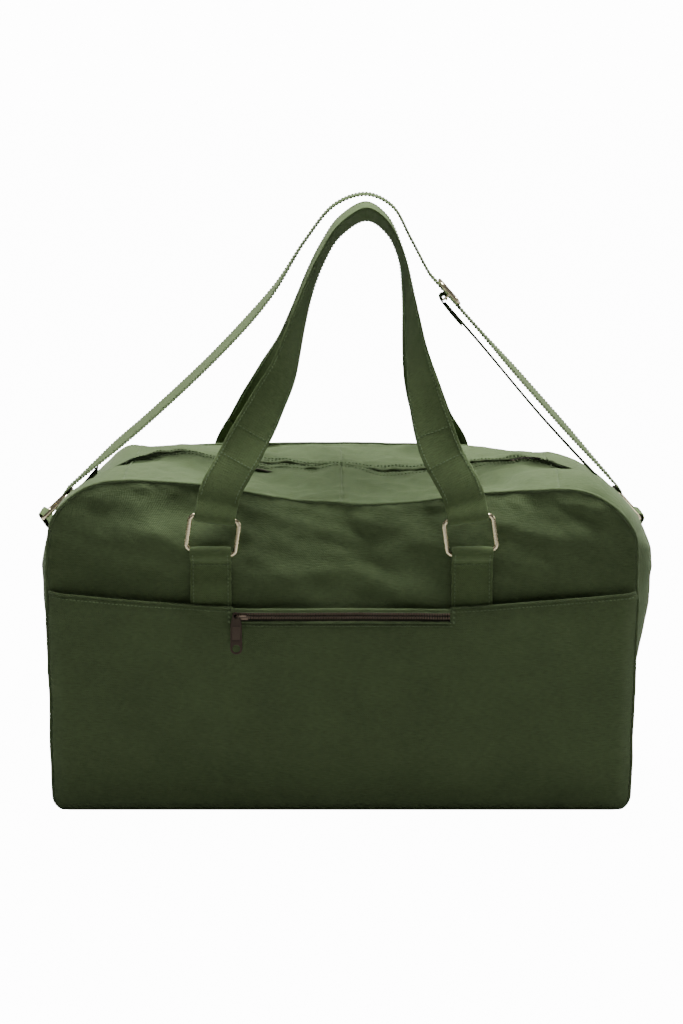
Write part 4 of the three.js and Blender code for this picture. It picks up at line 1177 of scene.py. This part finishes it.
# %% Strap line
STRAP_WIDTH, STRAP_THICK = 0.038, 0.0019
STRAP_STITCH_OUT = 0.016  # the same for the strap and its side tabs
ACROSS_BAG = np.array([0, 1.0, 0])
SIDE_BAR = {"left": np.array([-0.280, 0, 0.251]), "right": np.array([0.280, 0, 0.251])}
STRAP_LEFT = [(-176, 348.4), (-112, 409), (-64, 463), (-33, 511), (-6, 543)]
STRAP_TOP = [(23.2, 552.5), (47, 541.5), (64, 512)]
LEG_END = {"left": np.array([-0.176, 0, 0.3484]), "right": np.array([0.084, 0, 0.4711])}
STRAP_TURN = 0.00357
ADJUSTER_AT, ADJUSTER_LONG = 0.232, 0.028
leg_up, leg_out, upper_bar = {}, {}, {}
for hand in ("left", "right"):
    leg_up[hand] = unit(LEG_END[hand] - SIDE_BAR[hand])
    out = np.cross([0, 1, 0], leg_up[hand])
    leg_out[hand] = out if out[2] > 0 else -out
    upper_bar[hand] = SIDE_BAR[hand] + leg_up[hand] * RING_RISE


def on_strap(hand, distance, lift):
    return upper_bar[hand] + leg_up[hand] * distance + leg_out[hand] * lift


def strap_turn(hand):
    turn = linspace(0, math.pi, 11)
    return [upper_bar[hand] - (leg_out[hand] * math.cos(a) + leg_up[hand] * math.sin(a)) * STRAP_TURN for a in turn]


over = [np.array([x / 1000, 0, z / 1000]) for x, z in STRAP_LEFT + STRAP_TOP]
straight = [on_strap("right", ADJUSTER_AT + ADJUSTER_LONG + past, STRAP_TURN) for past in (0.010, 0.003, -0.170)]
route = [on_strap("left", 0.034, -STRAP_TURN + 0.0010), on_strap("left", 0.014, -STRAP_TURN), *strap_turn("left"),
         on_strap("left", 0.055, STRAP_TURN - 0.0012), *over, *straight, *strap_turn("right")[::-1]]
strap_path, _ = smooth_line(route, 420)
strap_ways = []
for spot in strap_path:
    left_share = smooth_step((-spot[0] - 0.03) / 0.06) * smooth_step((spot[0] + 0.255) / 0.05)
    right_share = smooth_step((spot[0] - 0.12) / 0.05) * smooth_step((0.255 - spot[0]) / 0.05)
    lean = math.radians(9) * left_share + math.radians(6) * right_share
    slope = leg_out["left"] if spot[0] < 0 else leg_out["right"]
    strap_ways.append(ACROSS_BAG * math.cos(lean) + slope * math.sin(lean))
strap_ways = np.array(strap_ways)
band("strap_webbing", strap_path, strap_ways, STRAP_WIDTH, STRAP_THICK, "webbing", "strap", ["shoulder_strap"])
return_end = ADJUSTER_AT + ADJUSTER_LONG / 2
bar_lift = -0.0014
back_run = ((-0.0002, -STRAP_TURN), (0.02, -STRAP_TURN - 0.0008), (0.10, -0.0062), (0.19, -0.0040),
            (return_end - 0.006, -0.0037))
back_path, _ = smooth_line([on_strap("right", distance, lift) for distance, lift in back_run], 160)
strand = band("strap_back_strand", back_path, ACROSS_BAG, STRAP_WIDTH, 0.0017, "webbing", None, ["strap_return"])
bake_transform(strand)

# %% Sewn end, adjuster and stitches of the strap
centre = on_strap("right", return_end, bar_lift)
sewn = [on_strap("right", return_end - 0.030, -0.0056), on_strap("right", return_end - 0.015, -0.0055)]
for a in linspace(-0.35 * math.pi, 0.92 * math.pi, 14):
    sewn.append(centre + (leg_out["right"] * math.sin(a) + leg_up["right"] * math.cos(a)) * 0.0030)
sewn_path, _ = smooth_line(sewn, 60)
band("strap_sewn_loop", sewn_path, ACROSS_BAG, STRAP_WIDTH - 0.0004, 0.0015, "webbing", "adjuster", ["strap_sewn_end"])


frame_lift = STRAP_TURN + 0.0026
frame_middle = on_strap("right", return_end, frame_lift)
frame_path = ring_path(frame_middle, ACROSS_BAG, leg_up["right"], 0.0426, ADJUSTER_LONG - 0.003, 0.004)
half_bar = [(0.0213, frame_lift), (0.0213, 0.0012), (0.0205, bar_lift)]
bar_run = [(-y, lift) for y, lift in half_bar] + half_bar[::-1]
centre_path, _ = smooth_line([on_strap("right", return_end, lift) + ACROSS_BAG * y for y, lift in bar_run], 40)
gather("strap_adjuster_metal", [wire(frame_path, 0.0016, 14, closed=True), wire(centre_path, 0.0011, 12)], "gold",
       "adjuster", ["strap_adjuster"])
strap_rows = []
for shift in (-STRAP_STITCH_OUT, STRAP_STITCH_OUT):
    for lift in (-STRAP_THICK / 2, STRAP_THICK / 2):
        strap_rows.append(beside(strap_path, strap_ways, shift, lift)[16:-12])
for distance in (0.022, 0.030):
    spot = on_strap("left", distance, STRAP_TURN + 0.0011)
    strap_rows.append([spot + ACROSS_BAG * y for y in linspace(-STRAP_STITCH_OUT, STRAP_STITCH_OUT, 5)])
along_paths("strap_stitches", stitch_tree, strap_rows, STITCH, "thread", "strap")

# %% Side rings and the tabs that hold them
def gusset_surface(side, z):
    wide, tall = corner_axes(0.0)
    over = max(0.0, z - (HEIGHT - tall)) / tall
    x = HALF_WIDTH - wide + wide * math.sqrt(max(0.0, 1 - over * over))
    return soft_line([(side * x, 0.0, z)])[0]


for side, hand in HANDS:
    middle = SIDE_BAR[hand] + leg_up[hand] * RING_RISE / 2
    path = ring_path(middle, ACROSS_BAG, leg_up[hand], RING_WIDTH, RING_RISE)
    tube(f"side_ring_{hand}_wire", path, WIRE, 16, "gold", "strap", [f"side_ring_{hand}"], closed=True)
    bar = SIDE_BAR[hand]
    spots = [gusset_surface(side, z) + (side * 0.0018, 0, 0) for z in (0.190, 0.200, 0.211, 0.221, 0.229)]
    foot = spots[-1]
    reach = unit(bar - foot)
    out = unit(np.array([side * abs(reach[2]), 0, -reach[0]]))
    spots.append(bar - reach * 0.0075 + out * 0.0030)
    spots += [bar + (out * math.cos(a) + reach * math.sin(a)) * 0.0042 for a in linspace(0, math.pi, 9)]
    spots += [bar - reach * 0.0065 - out * 0.0026, foot + reach * 0.009 - out * 0.0004,
              foot + reach * 0.004 - out * 0.0002]
    path, _ = smooth_line(spots, 90)
    held = [f"side_tab_loop_{hand}", f"side_tab_patch_{hand}"]
    tab = band(f"side_tab_{hand}", path, ACROSS_BAG, STRAP_WIDTH, 0.0018, "webbing", None, held)
    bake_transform(tab)
    edges = [(shift, side * lift) for shift in (-STRAP_STITCH_OUT, STRAP_STITCH_OUT) for lift in (-0.001, 0.001)]
    rows = [beside(path, ACROSS_BAG, shift, lift)[2:34] for shift, lift in edges]
    for z in (0.193, 0.224):
        spot = gusset_surface(side, z) + (side * 0.0029, 0, 0)
        rows.append([spot + ACROSS_BAG * y for y in linspace(-STRAP_STITCH_OUT, STRAP_STITCH_OUT, 5)])
    along_paths(f"side_tab_{hand}_stitches", stitch_tree, rows, STITCH, "thread", ROOT)
print("strap made")

# %% [markdown]
# ## Pieces that stay as they are
# A few hidden pieces of the frame have the right shape already: the stiffener in the floor needs only a skin.

# %% Finish for the rest of the frame
for name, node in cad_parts.items():
    look = board_skin if name == "base_board" else inner_canvas
    node.data.materials.clear()
    node.data.materials.append(look)

FLOOR_REACH, FLOOR_Z = 40, -0.0005
floor_mesh = bpy.data.meshes.new("studio_floor")
floor_corners = [(x * FLOOR_REACH, y * FLOOR_REACH, FLOOR_Z) for x, y in ((-1, -1), (1, -1), (1, 1), (-1, 1))]
floor_mesh.from_pydata(floor_corners, [], [(0, 1, 2, 3)])
floor = place_object("studio_floor", floor_mesh)
paper = bpy.data.materials.new("pale_paper")
paper.use_nodes = True
sheet = paper.node_tree
plain = sheet.nodes["Principled BSDF"]
plain.inputs["Base Color"].default_value = (0.45, 0.45, 0.45, 1)
plain.inputs["Roughness"].default_value = 0.95
bright_to_camera(sheet, plain, add(sheet, "ShaderNodeEmission", Strength=17.0), "Material Output", 0.8)
floor_mesh.materials.append(paper)
